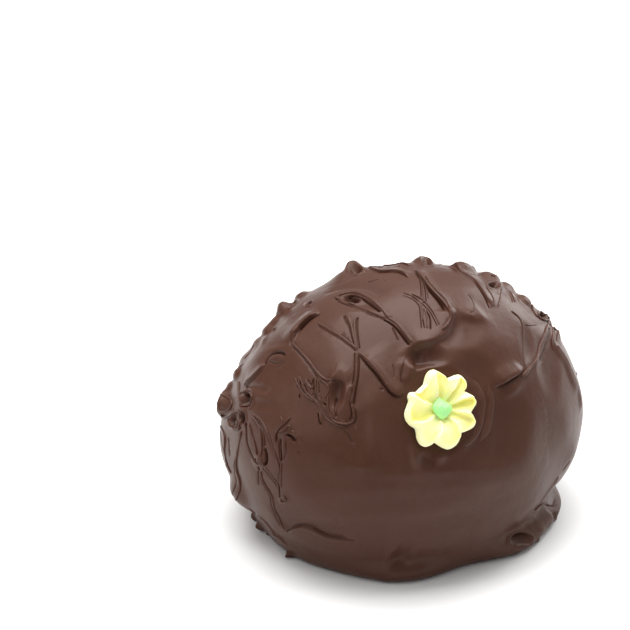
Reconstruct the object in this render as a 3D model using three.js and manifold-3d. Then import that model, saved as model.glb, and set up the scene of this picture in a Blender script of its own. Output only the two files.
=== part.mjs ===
// A hand-dipped chocolate egg that lies on its flattened underside, with one piped icing flower.
// Units are millimetres and +Z is up. +X is the long axis of the egg, towards its narrower end.
// The origin is on the table, in the middle of the egg's own length and width.
//
// The egg is one closed skin: a smooth shell (an egg-shaped plan times a domed profile), moved in
// and out by swells, by the foot where the coating pooled, and by folds, grooves and pits of dragged
// chocolate, with thin cords of it joined on as tapered tubes. All of these are drawn as circular
// arcs on a flat sheet, the show plane, which stands before the show side, and are carried onto the
// shell along the lines to one viewing point.
import * as THREE from 'three';
import Module from 'manifold-3d';

// ---- The shell ----
const HALF_LENGTH = 48;        // along X, at the widest height
const HALF_WIDTH = 40;         // along Y, at the widest height
const TAPER = 0.1;             // how much narrower the +X end is than the -X end
const HEIGHT = 66.5;           // top of the smooth shell
const WIDEST_Z = 25;           // height of the widest level
const FLOOR_RATIO = 0.8;       // outline of the shell at the table over its widest outline
const CROWN_POWER = 1.86;      // 2 is an ellipse; a lower power is a more pointed dome
const CENTRE = [0.228, -1.653];         // brings the middle of the finished outline to the origin

// ---- The foot of pooled coating ----
const FOOT_HEIGHT = 8;         // where the foot runs out into the body
const FOOT_REACH = 3.2;        // how far it spreads at the table, on average
const FOOT_EDGE = 1.4;         // radius of its lower edge
// Lobes of the foot: [direction in degrees from +X, extra reach, half-angle]
const FOOT_LOBES = [
  [170, -3.4, 16], [205, -1.9, 14], [222, 0.8, 5], [252, 2.0, 12], [272, -0.6, 7],
  [300, 1.2, 9], [316, 1.8, 8], [333, 3.4, 9], [20, -1.2, 20], [65, 1.4, 12], [110, 1.2, 14],
];

// ---- The show plane ----
const SHOW_YAW = 25;           // turn of the show side from -Y, degrees
const SHOW_RISE = 26.9;        // how far it looks down, degrees
const SHOW_ROLL = 2;           // lean of its upright, degrees
const SHOW_DISTANCE = 747;     // from the viewing point to the sheet
const SHOW_AIM = [0, 12.6];    // where the sheet meets the table, across and back from the egg
const SHOW_LIFT = 16;          // height of the sheet's zero above that point, along the sheet

// ---- The icing flower ----
const FLOWER_AT = [11, 2.7];   // its middle on the show plane
const FLOWER_GAP = 0.3;        // clearance between touching pieces
const SEAT_DEPTH = 1.3;        // flat seat under the flower, below the shell
const SEAT_RADIUS = 9.6;
const SEAT_BLEND = 2.6;
const PETAL_TURNS = [16, 61, 102, 153, 191, 243, 282, 338];   // directions of the petals
const PETAL_BASE = 0.7;        // thickness of the flower's rim
const PETAL_BODY = 1.5;        // further thickness of its flat middle
const PETAL_REACH = [9.3, 10.0, 10.3, 9.3, 9.5, 10.4, 10.3, 9.2];
const PETAL_RISE = 3.3;        // height of a petal's upturned rim
const CENTRE_RADIUS = 2.5;
const CENTRE_RISE = 2.2;

// ---- Relief of the egg, drawn on the show plane ----
// Each is an arc from one point to another: [across, up, across, up, bow, half width, height]. Its
// middle is bowed to the left of its direction. Where a fold runs, the skin is higher on its left.
const FOLDS = [
  [-21, 25.4, -11.6, 18.2, 0.6, 1.4, 1.2], [-10.9, 17.6, -2.6, 7.2, 0.6, 1.4, 1.5],
  [-2.6, 7.2, 2.6, 7.4, -1.3, 1.4, 1.3], [13.2, 28.4, 4.6, 39.2, -0.9, 1.4, 1.9],
  [8.4, 20.8, 14.6, 29, -2.1, 1.8, 1.6], [2.6, 19.4, 14.6, 14, 2.6, 1.8, 1.3],
  [13, 40.5, 23.8, 29.8, 2.1, 1.4, 1.3], [15, 28.6, 26.6, 29.6, -1.5, 1.7, 1.3],
  [26.9, 25, 27.8, 35.6, 0.7, 1.5, 1.3], [25.6, 9.3, 33.6, 14.2, -0.3, 1.4, 2.4],
  [-29.6, -34.4, -38, -25.3, -0.8, 1.5, 0.9], [-27.6, -29, -17, -31.6, -1.0, 1.3, 1.1],
  [-17, -31.6, -6, -33, 0, 1.6, 0.8], [40.4, -18.6, 28, -32, -0.5, 1.8, 1.8],
  [-6, 30.6, -16, 32.8, 1.2, 1.3, 1.1], [-42, 9, -35.2, 15.9, 0.6, 1.2, 0.9],
];
const GROOVES = [
  [-14, 32.3, -5.1, 28.7, 1.6, 1.1, 1.1], [-2.2, 25.5, 2.3, 20, 0.5, 1.1, 0.9],
  [-35.6, -7.6, -35.7, -12.2, 0.3, 1.2, 1.5], [-26.7, 23.2, -21.6, 28, -0.3, 1.3, 1.4],
  [-40.9, -1, -39.2, -9.5, -0.7, 1.1, 1.1],
];
// Cords of dragged chocolate, round in section, that lie on the skin.
const CORDS = [
  [-21.2, 25.4, -11.6, 18.5, 0.5, 0.75, 0.8], [-11, 17.8, -2.9, 7.8, 0.4, 0.7, 0.7],
  [-14.4, 27.6, -11.9, 19.6, 0.9, 0.65, 0.7], [-11, 27.6, -11.3, 18.6, 0.5, 0.65, 0.7],
  [-11.3, 18.8, -12.8, 6.6, 0.5, 0.8, 0.8], [-12.8, 6.8, -13.2, -0.4, -0.5, 0.8, 0.8],
  [-13, -0.5, -17.2, -0.7, 0.9, 0.8, 0.8], [-17.2, -0.5, -18.7, 8.4, 0.9, 0.75, 0.7],
  [-28, 20.4, -20.6, 11.2, -0.5, 0.75, 0.8], [-16, 32.4, -3.2, 28.2, 0.9, 1.1, 1.2],
  [-3.6, 28.2, 6.2, 23.6, 0.5, 0.9, 0.8], [-8.2, 40.4, 3.2, 41.2, 0.5, 0.9, 1.0],
  [3.4, 40.2, 6.4, 30.8, 0.9, 0.7, 0.7], [4.2, 31.8, 10.2, 24.2, 1.1, 0.65, 0.7],
  [6.2, 29.2, 6.2, 23.8, -0.6, 0.6, 0.6], [6.2, 29.2, 8.1, 23.8, 0.7, 0.6, 0.6],
  [30.4, 28.2, 33, 13.8, 1.1, 0.7, 0.8], [39.5, 25.6, 34.6, 13.8, 1.2, 0.9, 1.1],
  [34.6, 13.8, 29, 7.4, 0.5, 0.9, 1.0], [39.6, 25.6, 42.4, 17.8, -0.9, 0.8, 1.0],
  [42.4, 17.8, 47.4, 4.4, 0.8, 0.9, 0.9], [-43.2, 9.6, -42, 2.6, 0.4, 0.7, 0.8],
  [-47.2, 1.8, -45.4, -1.2, 0.1, 0.7, 0.8], [-45.4, -0.6, -42.4, -1.6, -2.0, 0.65, 0.8],
  [-42.4, -1.4, -42, 3, 0.2, 0.65, 0.8], [-42.2, -3, -43.6, -17, -1.0, 0.8, 0.8],
  [-46, -8, -43.2, -19.5, 0.3, 0.9, 0.8], [-40.4, 0.4, -37.4, -10, 0.4, 0.7, 0.9],
  [-38.5, 1.2, -31.8, -14, 1.6, 0.8, 0.9], [-38.4, -10.8, -36, -12.2, -0.9, 0.7, 0.9],
  [-36.2, -12.2, -32.2, -18.4, 0.3, 0.65, 0.7], [-32.6, -6, -29.6, -1, 0.8, 0.75, 0.8],
  [-25.9, 10.8, -22.9, 4.6, 0.9, 0.6, 0.7], [-21.2, 9.8, -20.4, 4.9, 1.9, 0.6, 0.7],
  [-21.4, 4.4, -16.6, -1.4, 0.6, 0.7, 0.7], [-36.9, 22, -35.5, 16, 0.4, 0.7, 0.7],
];
// Humps and hollows: [across, up, radius across, radius up, height]
const HUMPS = [
  [-31.4, 30.2, 2.0, 2.0, 2.2], [-25.6, 32.6, 2.0, 1.8, 1.7], [-36, 23.8, 1.8, 2.2, 2.0],
  [-12.6, 40.6, 2.4, 1.6, 2.6], [6.4, 41.8, 2.2, 1.8, 2.8], [17.6, 41, 2.8, 1.6, 2.2],
  [24.6, 37.6, 2.6, 2.4, 2.2], [37.8, 27.6, 2.4, 2.2, 2.4], [41.6, 23, 1.6, 2.6, 1.8],
  [-48, 4, 1.8, 2.4, 1.8], [-30.8, -21, 1.2, 1.2, 0.9], [-37.2, -11.4, 1.6, 1.3, 1.0],
  [-43.2, -19.5, 2.4, 3.6, 1.4], [-2.5, -36, 3.4, 2.6, 1.0], [38.6, -22, 4.0, 3.4, 1.2],
  [-12.7, 32.2, 1.8, 0.9, -2.4], [-25.3, 25, 1.7, 1.2, -1.7], [-15.4, 4.4, 2.1, 4.2, -1.5],
  [6.6, 17.2, 3.0, 2.0, -1.7], [-42.3, 13.5, 1.0, 1.7, -1.8], [-46.7, 4, 1.0, 1.4, -1.9],
  [-40.9, 5.7, 1.2, 1.3, -2.0], [-44, -0.2, 1.0, 1.2, -1.7], [-33, 16.3, 1.9, 1.0, -1.0],
  [25, 36.2, 1.3, 1.0, -2.0], [37.7, 27.3, 1.0, 1.0, -2.2], [29.6, 9.4, 2.6, 1.3, -1.6],
  [32.4, -31.3, 1.9, 1.0, -1.9], [25.7, 24.6, 1.3, 2.4, -0.8], [-28.4, -4.8, 1.2, 1.0, -1.2],
];
// Broad swells of the whole body: [azimuth, elevation seen from the origin, share, half-angle]
const SWELLS = [
  [300, 20, 0.01, 22], [30, 55, 0.015, 20], [140, 40, -0.01, 25], [70, 20, 0.012, 20],
];

// ---- Relief of the hidden side, of the same kinds, placed by rule ----
const BACK_SEED = 11;
const BACK_CORDS = 11;
const BACK_FOLDS = 6;
const BACK_HUMPS = 7;
const BACK_CENTRE = 80;        // azimuth in degrees of the middle of the hidden side
const BACK_SPREAD = 62;

// ---- Fineness of the skin ----
const START_AROUND = 44;
const START_ROWS = [0, 0.12, 0.26, 0.4, 0.54, 0.68, 0.82, 0.94, 1.1, 1.3, 1.5, 1.68, 1.82, 1.93, 2, 3];
const SKIN_TRIANGLES = 5200;   // before the cords are joined to it
const ERROR_FLOOR = 0.03;
const SHORTEST_EDGE = 0.7;

const RADIANS = Math.PI / 180;
const dot = (a, b) => a[0] * b[0] + a[1] * b[1] + a[2] * b[2];
const minus = (a, b) => [a[0] - b[0], a[1] - b[1], a[2] - b[2]];
const plus = (a, b, t = 1) => [a[0] + b[0] * t, a[1] + b[1] * t, a[2] + b[2] * t];
const cross = (a, b) => [
  a[1] * b[2] - a[2] * b[1], a[2] * b[0] - a[0] * b[2], a[0] * b[1] - a[1] * b[0],
];
const unit = (a) => {
  const size = Math.hypot(...a) || 1;
  return [a[0] / size, a[1] / size, a[2] / size];
};
const ease = (x) => {
  const t = Math.min(1, Math.max(0, x));
  return t * t * (3 - 2 * t);
};

// A small seeded generator, so that the hidden side is the same on every run.
let state = BACK_SEED;
function random() {
  state = (state * 1664525 + 1013904223) % 4294967296;
  return state / 4294967296;
}

// ---- Shell ----
const floorAngle = Math.acos(FLOOR_RATIO);

function swellAt(point) {
  const way = unit(point);
  let sum = 0;
  for (const [azimuth, elevation, share, spread] of SWELLS) {
    const flat = Math.cos(elevation * RADIANS);
    const toward = [
      flat * Math.cos(azimuth * RADIANS), flat * Math.sin(azimuth * RADIANS),
      Math.sin(elevation * RADIANS),
    ];
    const angle = Math.acos(Math.min(1, dot(way, toward))) / RADIANS;
    sum += share * Math.exp(-0.5 * (angle / spread) ** 2);
  }
  return sum;
}

// level 0 is the top, 1 the widest height and 2 the table
function shellPoint(around, level) {
  let reach;
  let z;
  if (level <= 1) {
    const angle = (1 - level) * Math.PI / 2;
    reach = Math.max(0, Math.cos(angle)) ** (2 / CROWN_POWER);
    z = WIDEST_Z + (HEIGHT - WIDEST_Z) * Math.sin(angle) ** (2 / CROWN_POWER);
  } else {
    const angle = Math.min(1, level - 1) * floorAngle;
    reach = Math.cos(angle);
    z = WIDEST_Z * (1 - Math.sin(angle) / Math.sin(floorAngle));
  }
  const point = [
    HALF_LENGTH * Math.cos(around) * reach,
    HALF_WIDTH * Math.sin(around) * (1 - TAPER * Math.cos(around)) * reach,
    Math.max(0, z),
  ];
  const scale = 1 + swellAt(point);
  return point.map((value) => value * scale);
}

// below zero inside the shell
function shellSide(point) {
  const scale = 1 + swellAt(point);
  const [x, y, z] = point.map((value) => value / scale);
  let reach;
  if (z > WIDEST_Z) {
    const up = Math.min(1, (z - WIDEST_Z) / (HEIGHT - WIDEST_Z));
    reach = (1 - up ** CROWN_POWER) ** (1 / CROWN_POWER);
  } else {
    const down = Math.min(1, (WIDEST_Z - z) / WIDEST_Z * Math.sin(floorAngle));
    reach = Math.sqrt(1 - down * down);
  }
  const across = x / (Math.max(reach, 1e-4) * HALF_LENGTH);
  const width = Math.max(reach, 1e-4) * HALF_WIDTH * (1 - TAPER * Math.max(-1.5, Math.min(1.5, across)));
  return across * across + (y / width) ** 2 - 1;
}

function shellNormal(around, level) {
  const step = 0.004;
  const low = Math.max(0.02, level);
  const east = minus(shellPoint(around + step, low), shellPoint(around - step, low));
  const south = minus(shellPoint(around, low + step), shellPoint(around, low - step));
  return unit(cross(south, east));
}

// ---- Show plane ----
const yaw = SHOW_YAW * RADIANS;
const rise = SHOW_RISE * RADIANS;
const roll = SHOW_ROLL * RADIANS;
const look = [Math.sin(yaw) * Math.cos(rise), Math.cos(yaw) * Math.cos(rise), -Math.sin(rise)];
const level0 = unit(cross(look, [0, 0, 1]));
const upright0 = cross(level0, look);
const sheetRight = plus(level0.map((v) => v * Math.cos(roll)), upright0, Math.sin(roll));
const sheetUp = plus(upright0.map((v) => v * Math.cos(roll)), level0, -Math.sin(roll));
const aim = [
  Math.cos(yaw) * SHOW_AIM[0] + Math.sin(yaw) * SHOW_AIM[1],
  -Math.sin(yaw) * SHOW_AIM[0] + Math.cos(yaw) * SHOW_AIM[1], 0,
];
// The viewing point stands square to the sheet, over the point that is EYE_ACROSS and EYE_UP on it.
const EYE_ACROSS = -22.7;
const EYE_UP = 44;
const eye = plus(plus(plus(aim, sheetRight, EYE_ACROSS), sheetUp, EYE_UP), look, -SHOW_DISTANCE);

// Where the line from the viewing point through a point of the sheet first meets the shell. A line
// that passes just outside is drawn in until it touches.
function ontoShell(across, up) {
  for (let pull = 0; pull < 12; pull += 1) {
    const share = 1 - pull * 0.01;
    const sheet = plus(plus(aim, sheetRight, across * share), sheetUp, SHOW_LIFT + up * share);
    const way = unit(minus(sheet, eye));
    let outside = SHOW_DISTANCE - 80;
    let inside = 0;
    for (let far = outside; far < SHOW_DISTANCE + 60 && !inside; far += 1) {
      const point = plus(eye, way, far);
      if (point[2] > 0 && shellSide(point) < 0) inside = far;
      else outside = far;
    }
    if (inside) {
      for (let halving = 0; halving < 20; halving += 1) {
        const middle = (inside + outside) / 2;
        if (shellSide(plus(eye, way, middle)) < 0) inside = middle;
        else outside = middle;
      }
      return plus(eye, way, inside);
    }
  }
  return null;
}

// Points along an arc bowed to the left of its direction, each given by a function of (across, up).
function arcPoints(x0, y0, x1, y1, bow, place) {
  const length = Math.hypot(x1 - x0, y1 - y0);
  const steps = Math.max(3, Math.ceil((length + 2 * Math.abs(bow)) / 2.5));
  const points = [];
  for (let i = 0; i <= steps; i += 1) {
    const t = i / steps;
    const out = 4 * bow * t * (1 - t);
    const x = x0 + (x1 - x0) * t - (y1 - y0) / length * out;
    const y = y0 + (y1 - y0) * t + (x1 - x0) / length * out;
    const point = place(x, y);
    if (point) points.push(point);
  }
  return points;
}

// ---- Relief ----
const FOLD_RUN = 5.5;          // how far a fold's high side takes to fade into the body
const relief = [];

function addStroke(kind, points, half, height) {
  if (points.length < 2) return;
  const box = new THREE.Box3().setFromPoints(points.map((p) => new THREE.Vector3(...p)));
  const ball = box.getBoundingSphere(new THREE.Sphere());
  const margin = kind === 'fold' ? 3 * FOLD_RUN : half;
  relief.push({
    kind, points, half, height,
    middle: [ball.center.x, ball.center.y, ball.center.z], radius: ball.radius + margin,
  });
}

const cords = [];
for (const [x0, y0, x1, y1, bow, half, height] of FOLDS) {
  addStroke('fold', arcPoints(x0, y0, x1, y1, bow, ontoShell), half, height);
}
for (const [x0, y0, x1, y1, bow, half, height] of GROOVES) {
  addStroke('groove', arcPoints(x0, y0, x1, y1, bow, ontoShell), half, height);
}
for (const [x0, y0, x1, y1, bow, half, height] of CORDS) {
  cords.push({ points: arcPoints(x0, y0, x1, y1, bow, ontoShell), half, height });
}
for (const [x, y, across, up, height] of HUMPS) {
  const middle = ontoShell(x, y);
  relief.push({ kind: 'hump', middle, radius: 3 * Math.max(across, up), across, up, height });
}

// On the hidden side arcs are drawn over azimuth and height, in millimetres from its middle.
function ontoBack(across, up) {
  const around = BACK_CENTRE * RADIANS - across / HALF_WIDTH;
  const level = Math.min(1.9, Math.max(0.05, 0.9 - up / 55));
  return shellPoint(around, level);
}
const BACK_WIDE = BACK_SPREAD * RADIANS * HALF_WIDTH;
for (let i = 0; i < BACK_CORDS + BACK_FOLDS; i += 1) {
  const isFold = i >= BACK_CORDS;
  const x = (random() * 2 - 1) * BACK_WIDE;
  const y = random() * 52 - 22;
  const heading = random() * 2 * Math.PI;
  const length = 9 + random() * 13;
  const points = arcPoints(
    x, y, x + length * Math.cos(heading), y + length * Math.sin(heading),
    (random() - 0.5) * length * 0.5, ontoBack,
  );
  const height = 0.9 + random() * 0.5;
  if (isFold) addStroke('fold', points, 1.5, height);
  else cords.push({ points, half: 0.65 + random() * 0.3, height: height * 0.8 });
}
for (let i = 0; i < BACK_HUMPS; i += 1) {
  const middle = ontoBack((random() * 2 - 1) * BACK_WIDE, random() * 44 - 14);
  const size = 1.6 + random();
  const height = i % 3 === 0 ? -1.4 : 1.4;
  relief.push({ kind: 'hump', middle, radius: 3 * size, across: size, up: size, height });
}

// Distance from a point to a stroke, the share of its length there, and the side it lies on.
function nearest(point, normal, points) {
  let best = { distance: Infinity, share: 0, left: 0 };
  for (let i = 0; i + 1 < points.length; i += 1) {
    const along = minus(points[i + 1], points[i]);
    const away = minus(point, points[i]);
    const t = Math.min(1, Math.max(0, dot(away, along) / dot(along, along)));
    const off = plus(away, along, -t);
    const distance = Math.hypot(...off);
    if (distance < best.distance) {
      const left = Math.sign(dot(cross(normal, along), off));
      best = { distance, share: (i + t) / (points.length - 1), left };
    }
  }
  return best;
}

function reliefAt(point, normal) {
  let sum = 0;
  for (const item of relief) {
    const away = minus(point, item.middle);
    if (dot(away, away) > item.radius ** 2) continue;
    if (item.kind === 'hump') {
      const x = dot(away, sheetRight) / item.across;
      const y = dot(away, sheetUp) / item.up;
      const deep = dot(away, look) / Math.max(item.across, item.up);
      sum += item.height * Math.exp(-0.5 * (x * x + y * y + deep * deep * 0.5));
      continue;
    }
    const { distance, share, left } = nearest(point, normal, item.points);
    const ends = Math.sqrt(ease(Math.min(share, 1 - share) / 0.14));
    if (item.kind === 'fold') {
      const side = distance * left;
      const step = ease((side + item.half) / (2 * item.half));
      sum += item.height * ends * step * Math.exp(-((Math.max(0, side) / FOLD_RUN) ** 2));
    } else {
      sum -= Math.max(0, 1 - (distance / item.half) ** 2) ** 1.5 * item.height * ends;
    }
  }
  return sum;
}

// ---- Seat of the flower ----
const seatTop = ontoShell(...FLOWER_AT);
const flowerAxis = (() => {
  const step = 4;
  const [across, up] = FLOWER_AT;
  const side = minus(ontoShell(across + step, up), ontoShell(across - step, up));
  const tall = minus(ontoShell(across, up + step), ontoShell(across, up - step));
  return unit(cross(side, tall));
})();
const seatMiddle = plus(seatTop, flowerAxis, -SEAT_DEPTH);

function withSeat(point) {
  const away = minus(point, seatMiddle);
  const high = dot(away, flowerAxis);
  const off = Math.hypot(...plus(away, flowerAxis, -high));
  if (off > SEAT_RADIUS + SEAT_BLEND || high < -20) return point;
  const flat = 1 - ease((off - SEAT_RADIUS) / SEAT_BLEND);
  return plus(point, flowerAxis, -high * flat);
}

// ---- Skin of the egg ----
function footReach(around) {
  const degrees = around / RADIANS;
  let reach = FOOT_REACH + 0.5 * Math.sin(5 * around + 0.4) + 0.3 * Math.sin(11 * around + 2);
  for (const [azimuth, extra, spread] of FOOT_LOBES) {
    const gap = ((degrees - azimuth) % 360 + 540) % 360 - 180;
    reach += extra * Math.exp(-0.5 * (gap / spread) ** 2);
  }
  return Math.max(0, reach);
}

function skinPoint(around, level) {
  if (level > 2) {
    const rim = skinPoint(around, 2);
    return [rim[0] * (3 - level), rim[1] * (3 - level), 0];
  }
  const base = shellPoint(around, level);
  const normal = shellNormal(around, level);
  const clear = ease(base[2] / 3);
  let point = plus(base, normal, reliefAt(base, normal) * clear);
  point = withSeat(point);
  const z = base[2];
  const spread = 1 - ease((z - FOOT_EDGE) / (FOOT_HEIGHT - FOOT_EDGE));
  const under = Math.max(0, 1 - z / FOOT_EDGE);
  const edge = FOOT_EDGE * (1 - Math.sqrt(Math.max(0, 1 - under * under))) * 0.8;
  const out = unit([base[0], base[1], 0]);
  point = plus(point, out, footReach(around) * spread - edge);
  if (level === 2) point[2] = 0;
  return [point[0], point[1], Math.max(0, point[2])];
}

// A closed net of rings from the top to the middle of the underside, whose worst-fitting edges are
// halved until the net has its number of triangles.
function buildSkin() {
  const places = [];
  const triangles = [];
  const addPlace = (around, level) => {
    places.push({ around, level, point: skinPoint(around, level) });
    return places.length - 1;
  };
  const top = addPlace(0, 0);
  const rings = START_ROWS.slice(1, -1).map((level, row) => {
    const ring = [];
    for (let i = 0; i < START_AROUND; i += 1) {
      ring.push(addPlace((i + row % 2 / 2) / START_AROUND * 2 * Math.PI, level));
    }
    return ring;
  });
  const bottom = addPlace(0, 3);
  const last = rings.length - 1;
  for (let i = 0; i < START_AROUND; i += 1) {
    const next = (i + 1) % START_AROUND;
    triangles.push([top, rings[0][i], rings[0][next]]);
    triangles.push([bottom, rings[last][next], rings[last][i]]);
    for (let row = 0; row < last; row += 1) {
      const upper = rings[row];
      const lower = rings[row + 1];
      if (row % 2 === 0) {
        triangles.push([upper[i], lower[i], upper[next]]);
        triangles.push([lower[i], lower[next], upper[next]]);
      } else {
        triangles.push([upper[i], lower[next], upper[next]]);
        triangles.push([upper[i], lower[i], lower[next]]);
      }
    }
  }

  const between = (a, b, share) => {
    const one = places[a];
    const two = places[b];
    let turn = two.around - one.around;
    if (turn > Math.PI) turn -= 2 * Math.PI;
    if (turn < -Math.PI) turn += 2 * Math.PI;
    let around = one.around + turn * share;
    if (a === top || a === bottom) around = two.around;
    if (b === top || b === bottom) around = one.around;
    return [around, one.level + (two.level - one.level) * share];
  };
  const gapAt = (a, b, share) => {
    const true1 = skinPoint(...between(a, b, share));
    const chord = plus(places[a].point, minus(places[b].point, places[a].point), share);
    return Math.hypot(...minus(true1, chord));
  };
  const known = new Map();
  const keyOf = (a, b) => (a < b ? a * 100000 + b : b * 100000 + a);
  const sizeOf = (a, b) => Math.hypot(...minus(places[a].point, places[b].point));
  const badness = (a, b) => {
    const key = keyOf(a, b);
    if (!known.has(key)) {
      const long = sizeOf(a, b);
      let gap = gapAt(a, b, 0.5);
      if (long > 1.2) gap = Math.max(gap, gapAt(a, b, 0.25), gapAt(a, b, 0.75));
      known.set(key, long < SHORTEST_EDGE ? 0 : gap * Math.sqrt(long));
    }
    return known.get(key);
  };

  const ownersOf = () => {
    const owners = new Map();
    triangles.forEach((triangle, index) => {
      for (let side = 0; side < 3; side += 1) {
        const key = keyOf(triangle[side], triangle[(side + 1) % 3]);
        if (!owners.has(key)) owners.set(key, []);
        owners.get(key).push([index, side]);
      }
    });
    return owners;
  };
  const facing = (a, b, c) => {
    const origin = places[a].point;
    return cross(minus(places[b].point, origin), minus(places[c].point, origin));
  };

  // Turns the diagonal of a pair of triangles where the other diagonal follows the skin better.
  const turnDiagonals = () => {
    const owners = ownersOf();
    const busy = new Set();
    for (const pair of owners.values()) {
      if (pair.length !== 2 || pair.some(([index]) => busy.has(index))) continue;
      const [[one, side], [two, other]] = pair;
      const a = triangles[one][side];
      const b = triangles[one][(side + 1) % 3];
      const c = triangles[one][(side + 2) % 3];
      const d = triangles[two][(other + 2) % 3];
      if ([a, b, c, d].includes(top) || [a, b, c, d].includes(bottom)) continue;
      if (owners.has(keyOf(c, d)) || sizeOf(c, d) > 1.6 * sizeOf(a, b) + 0.4) continue;
      if (badness(c, d) > 0.7 * badness(a, b) - 0.01) continue;
      const before = unit(plus(facing(a, b, c), facing(b, a, d)));
      const first = facing(a, d, c);
      const second = facing(d, b, c);
      const thin = 0.12 * sizeOf(c, d) ** 2;
      if (dot(first, before) < thin || dot(second, before) < thin) continue;
      triangles[one] = [a, d, c];
      triangles[two] = [d, b, c];
      busy.add(one);
      busy.add(two);
      owners.set(keyOf(c, d), []);
    }
  };

  while (triangles.length < SKIN_TRIANGLES) {
    const owners = ownersOf();
    const wanted = [];
    for (const triangle of triangles) {
      for (let side = 0; side < 3; side += 1) {
        const a = triangle[side];
        const b = triangle[(side + 1) % 3];
        if (a < b && badness(a, b) > ERROR_FLOOR) wanted.push([badness(a, b), a, b]);
      }
    }
    wanted.sort((one, two) => two[0] - one[0]);
    const busy = new Set();
    const room = Math.ceil(wanted.length / 6);
    let done = 0;
    for (const [, a0, b0] of wanted) {
      if (done >= room || triangles.length >= SKIN_TRIANGLES) break;
      let a = a0;
      let b = b0;
      // A longer neighbouring edge goes first, so that no thin triangles are left.
      for (let hop = 0; hop < 5; hop += 1) {
        let longest = [a, b, sizeOf(a, b) * 1.35];
        for (const [index] of owners.get(keyOf(a, b)) || []) {
          for (let side = 0; side < 3; side += 1) {
            const p = triangles[index][side];
            const q = triangles[index][(side + 1) % 3];
            if (sizeOf(p, q) > longest[2]) longest = [p, q, sizeOf(p, q)];
          }
        }
        if (longest[0] === a && longest[1] === b) break;
        [a, b] = longest;
      }
      const pair = owners.get(keyOf(a, b)) || [];
      if (pair.length !== 2 || pair.some(([index]) => busy.has(index))) continue;
      const middle = addPlace(...between(a, b, 0.5));
      for (const [index, side] of pair) {
        const triangle = triangles[index];
        const p = triangle[side];
        const q = triangle[(side + 1) % 3];
        const r = triangle[(side + 2) % 3];
        triangles[index] = [p, middle, r];
        triangles.push([middle, q, r]);
        busy.add(index);
      }
      done += 1;
    }
    if (!done) break;
    turnDiagonals();
  }
  for (let i = 0; i < 6; i += 1) turnDiagonals();
  return { numbers: places.flatMap(({ point }) => point), faces: triangles.flat() };
}

// ---- Cords ----
function normalAt(point) {
  const step = 0.05;
  const slope = [0, 1, 2].map((axis) => {
    const more = point.slice();
    const less = point.slice();
    more[axis] += step;
    less[axis] -= step;
    return shellSide(more) - shellSide(less);
  });
  return unit(slope);
}

// A tapered rope of four-cornered rings along points of the shell, sunk a little into the skin. One
// corner of each ring points out, as the crest of the cord.
const CORD_SIDES = 4;
const CORD_SINK = 0.3;
const CORD_TIP = 0.3;          // size of its two ends, of its full size
const JOIN_TOLERANCE = 0.001;  // edges shorter than this close up where pieces are joined
const CLOSED_EDGE = 0.12;      // edges shorter than this are closed once the cords are joined
const TOUCH_GAP = 0.02;        // how far a corner is drawn back from another skin that touches it

function buildCord({ points, half, height }) {
  const numbers = [];
  const faces = [];
  const last = points.length - 1;
  const place = points.map((point) => {
    const normal = normalAt(point);
    return plus(point, normal, reliefAt(point, normal) - CORD_SINK * height);
  });
  place.forEach((middle, row) => {
    const along = unit(minus(place[Math.min(last, row + 1)], place[Math.max(0, row - 1)]));
    const side = unit(cross(along, normalAt(points[row])));
    const out = cross(side, along);
    const share = row / last;
    const size = CORD_TIP + (1 - CORD_TIP) * Math.sqrt(ease(Math.min(share, 1 - share) / 0.2));
    for (let i = 0; i < CORD_SIDES; i += 1) {
      const angle = (i / CORD_SIDES + 0.25) * 2 * Math.PI;
      const tall = (height + CORD_SINK * height) * size * Math.sin(angle);
      numbers.push(...plus(plus(middle, side, half * size * Math.cos(angle)), out, tall));
    }
  });
  for (let i = 0; i < CORD_SIDES; i += 1) {
    const next = (i + 1) % CORD_SIDES;
    for (let row = 0; row < last; row += 1) {
      const here = row * CORD_SIDES;
      const there = here + CORD_SIDES;
      faces.push(here + i, here + next, there + next, here + i, there + next, there + i);
    }
    const end = last * CORD_SIDES;
    if (i > 1) {
      faces.push(0, i, i - 1);
      faces.push(end, end + i - 1, end + i);
    }
  }
  return { numbers, faces };
}

const wasm = await Module();
wasm.setup();

function solid({ numbers, faces }) {
  return new wasm.Manifold(new wasm.Mesh({
    numProp: 3, vertProperties: new Float32Array(numbers), triVerts: new Uint32Array(faces),
    tolerance: JOIN_TOLERANCE,
  }));
}

function geometryOf(numbers, faces) {
  const geometry = new THREE.BufferGeometry();
  geometry.setAttribute('position', new THREE.Float32BufferAttribute(numbers, 3));
  geometry.setIndex(faces);
  geometry.computeVertexNormals();
  return geometry;
}

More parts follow.
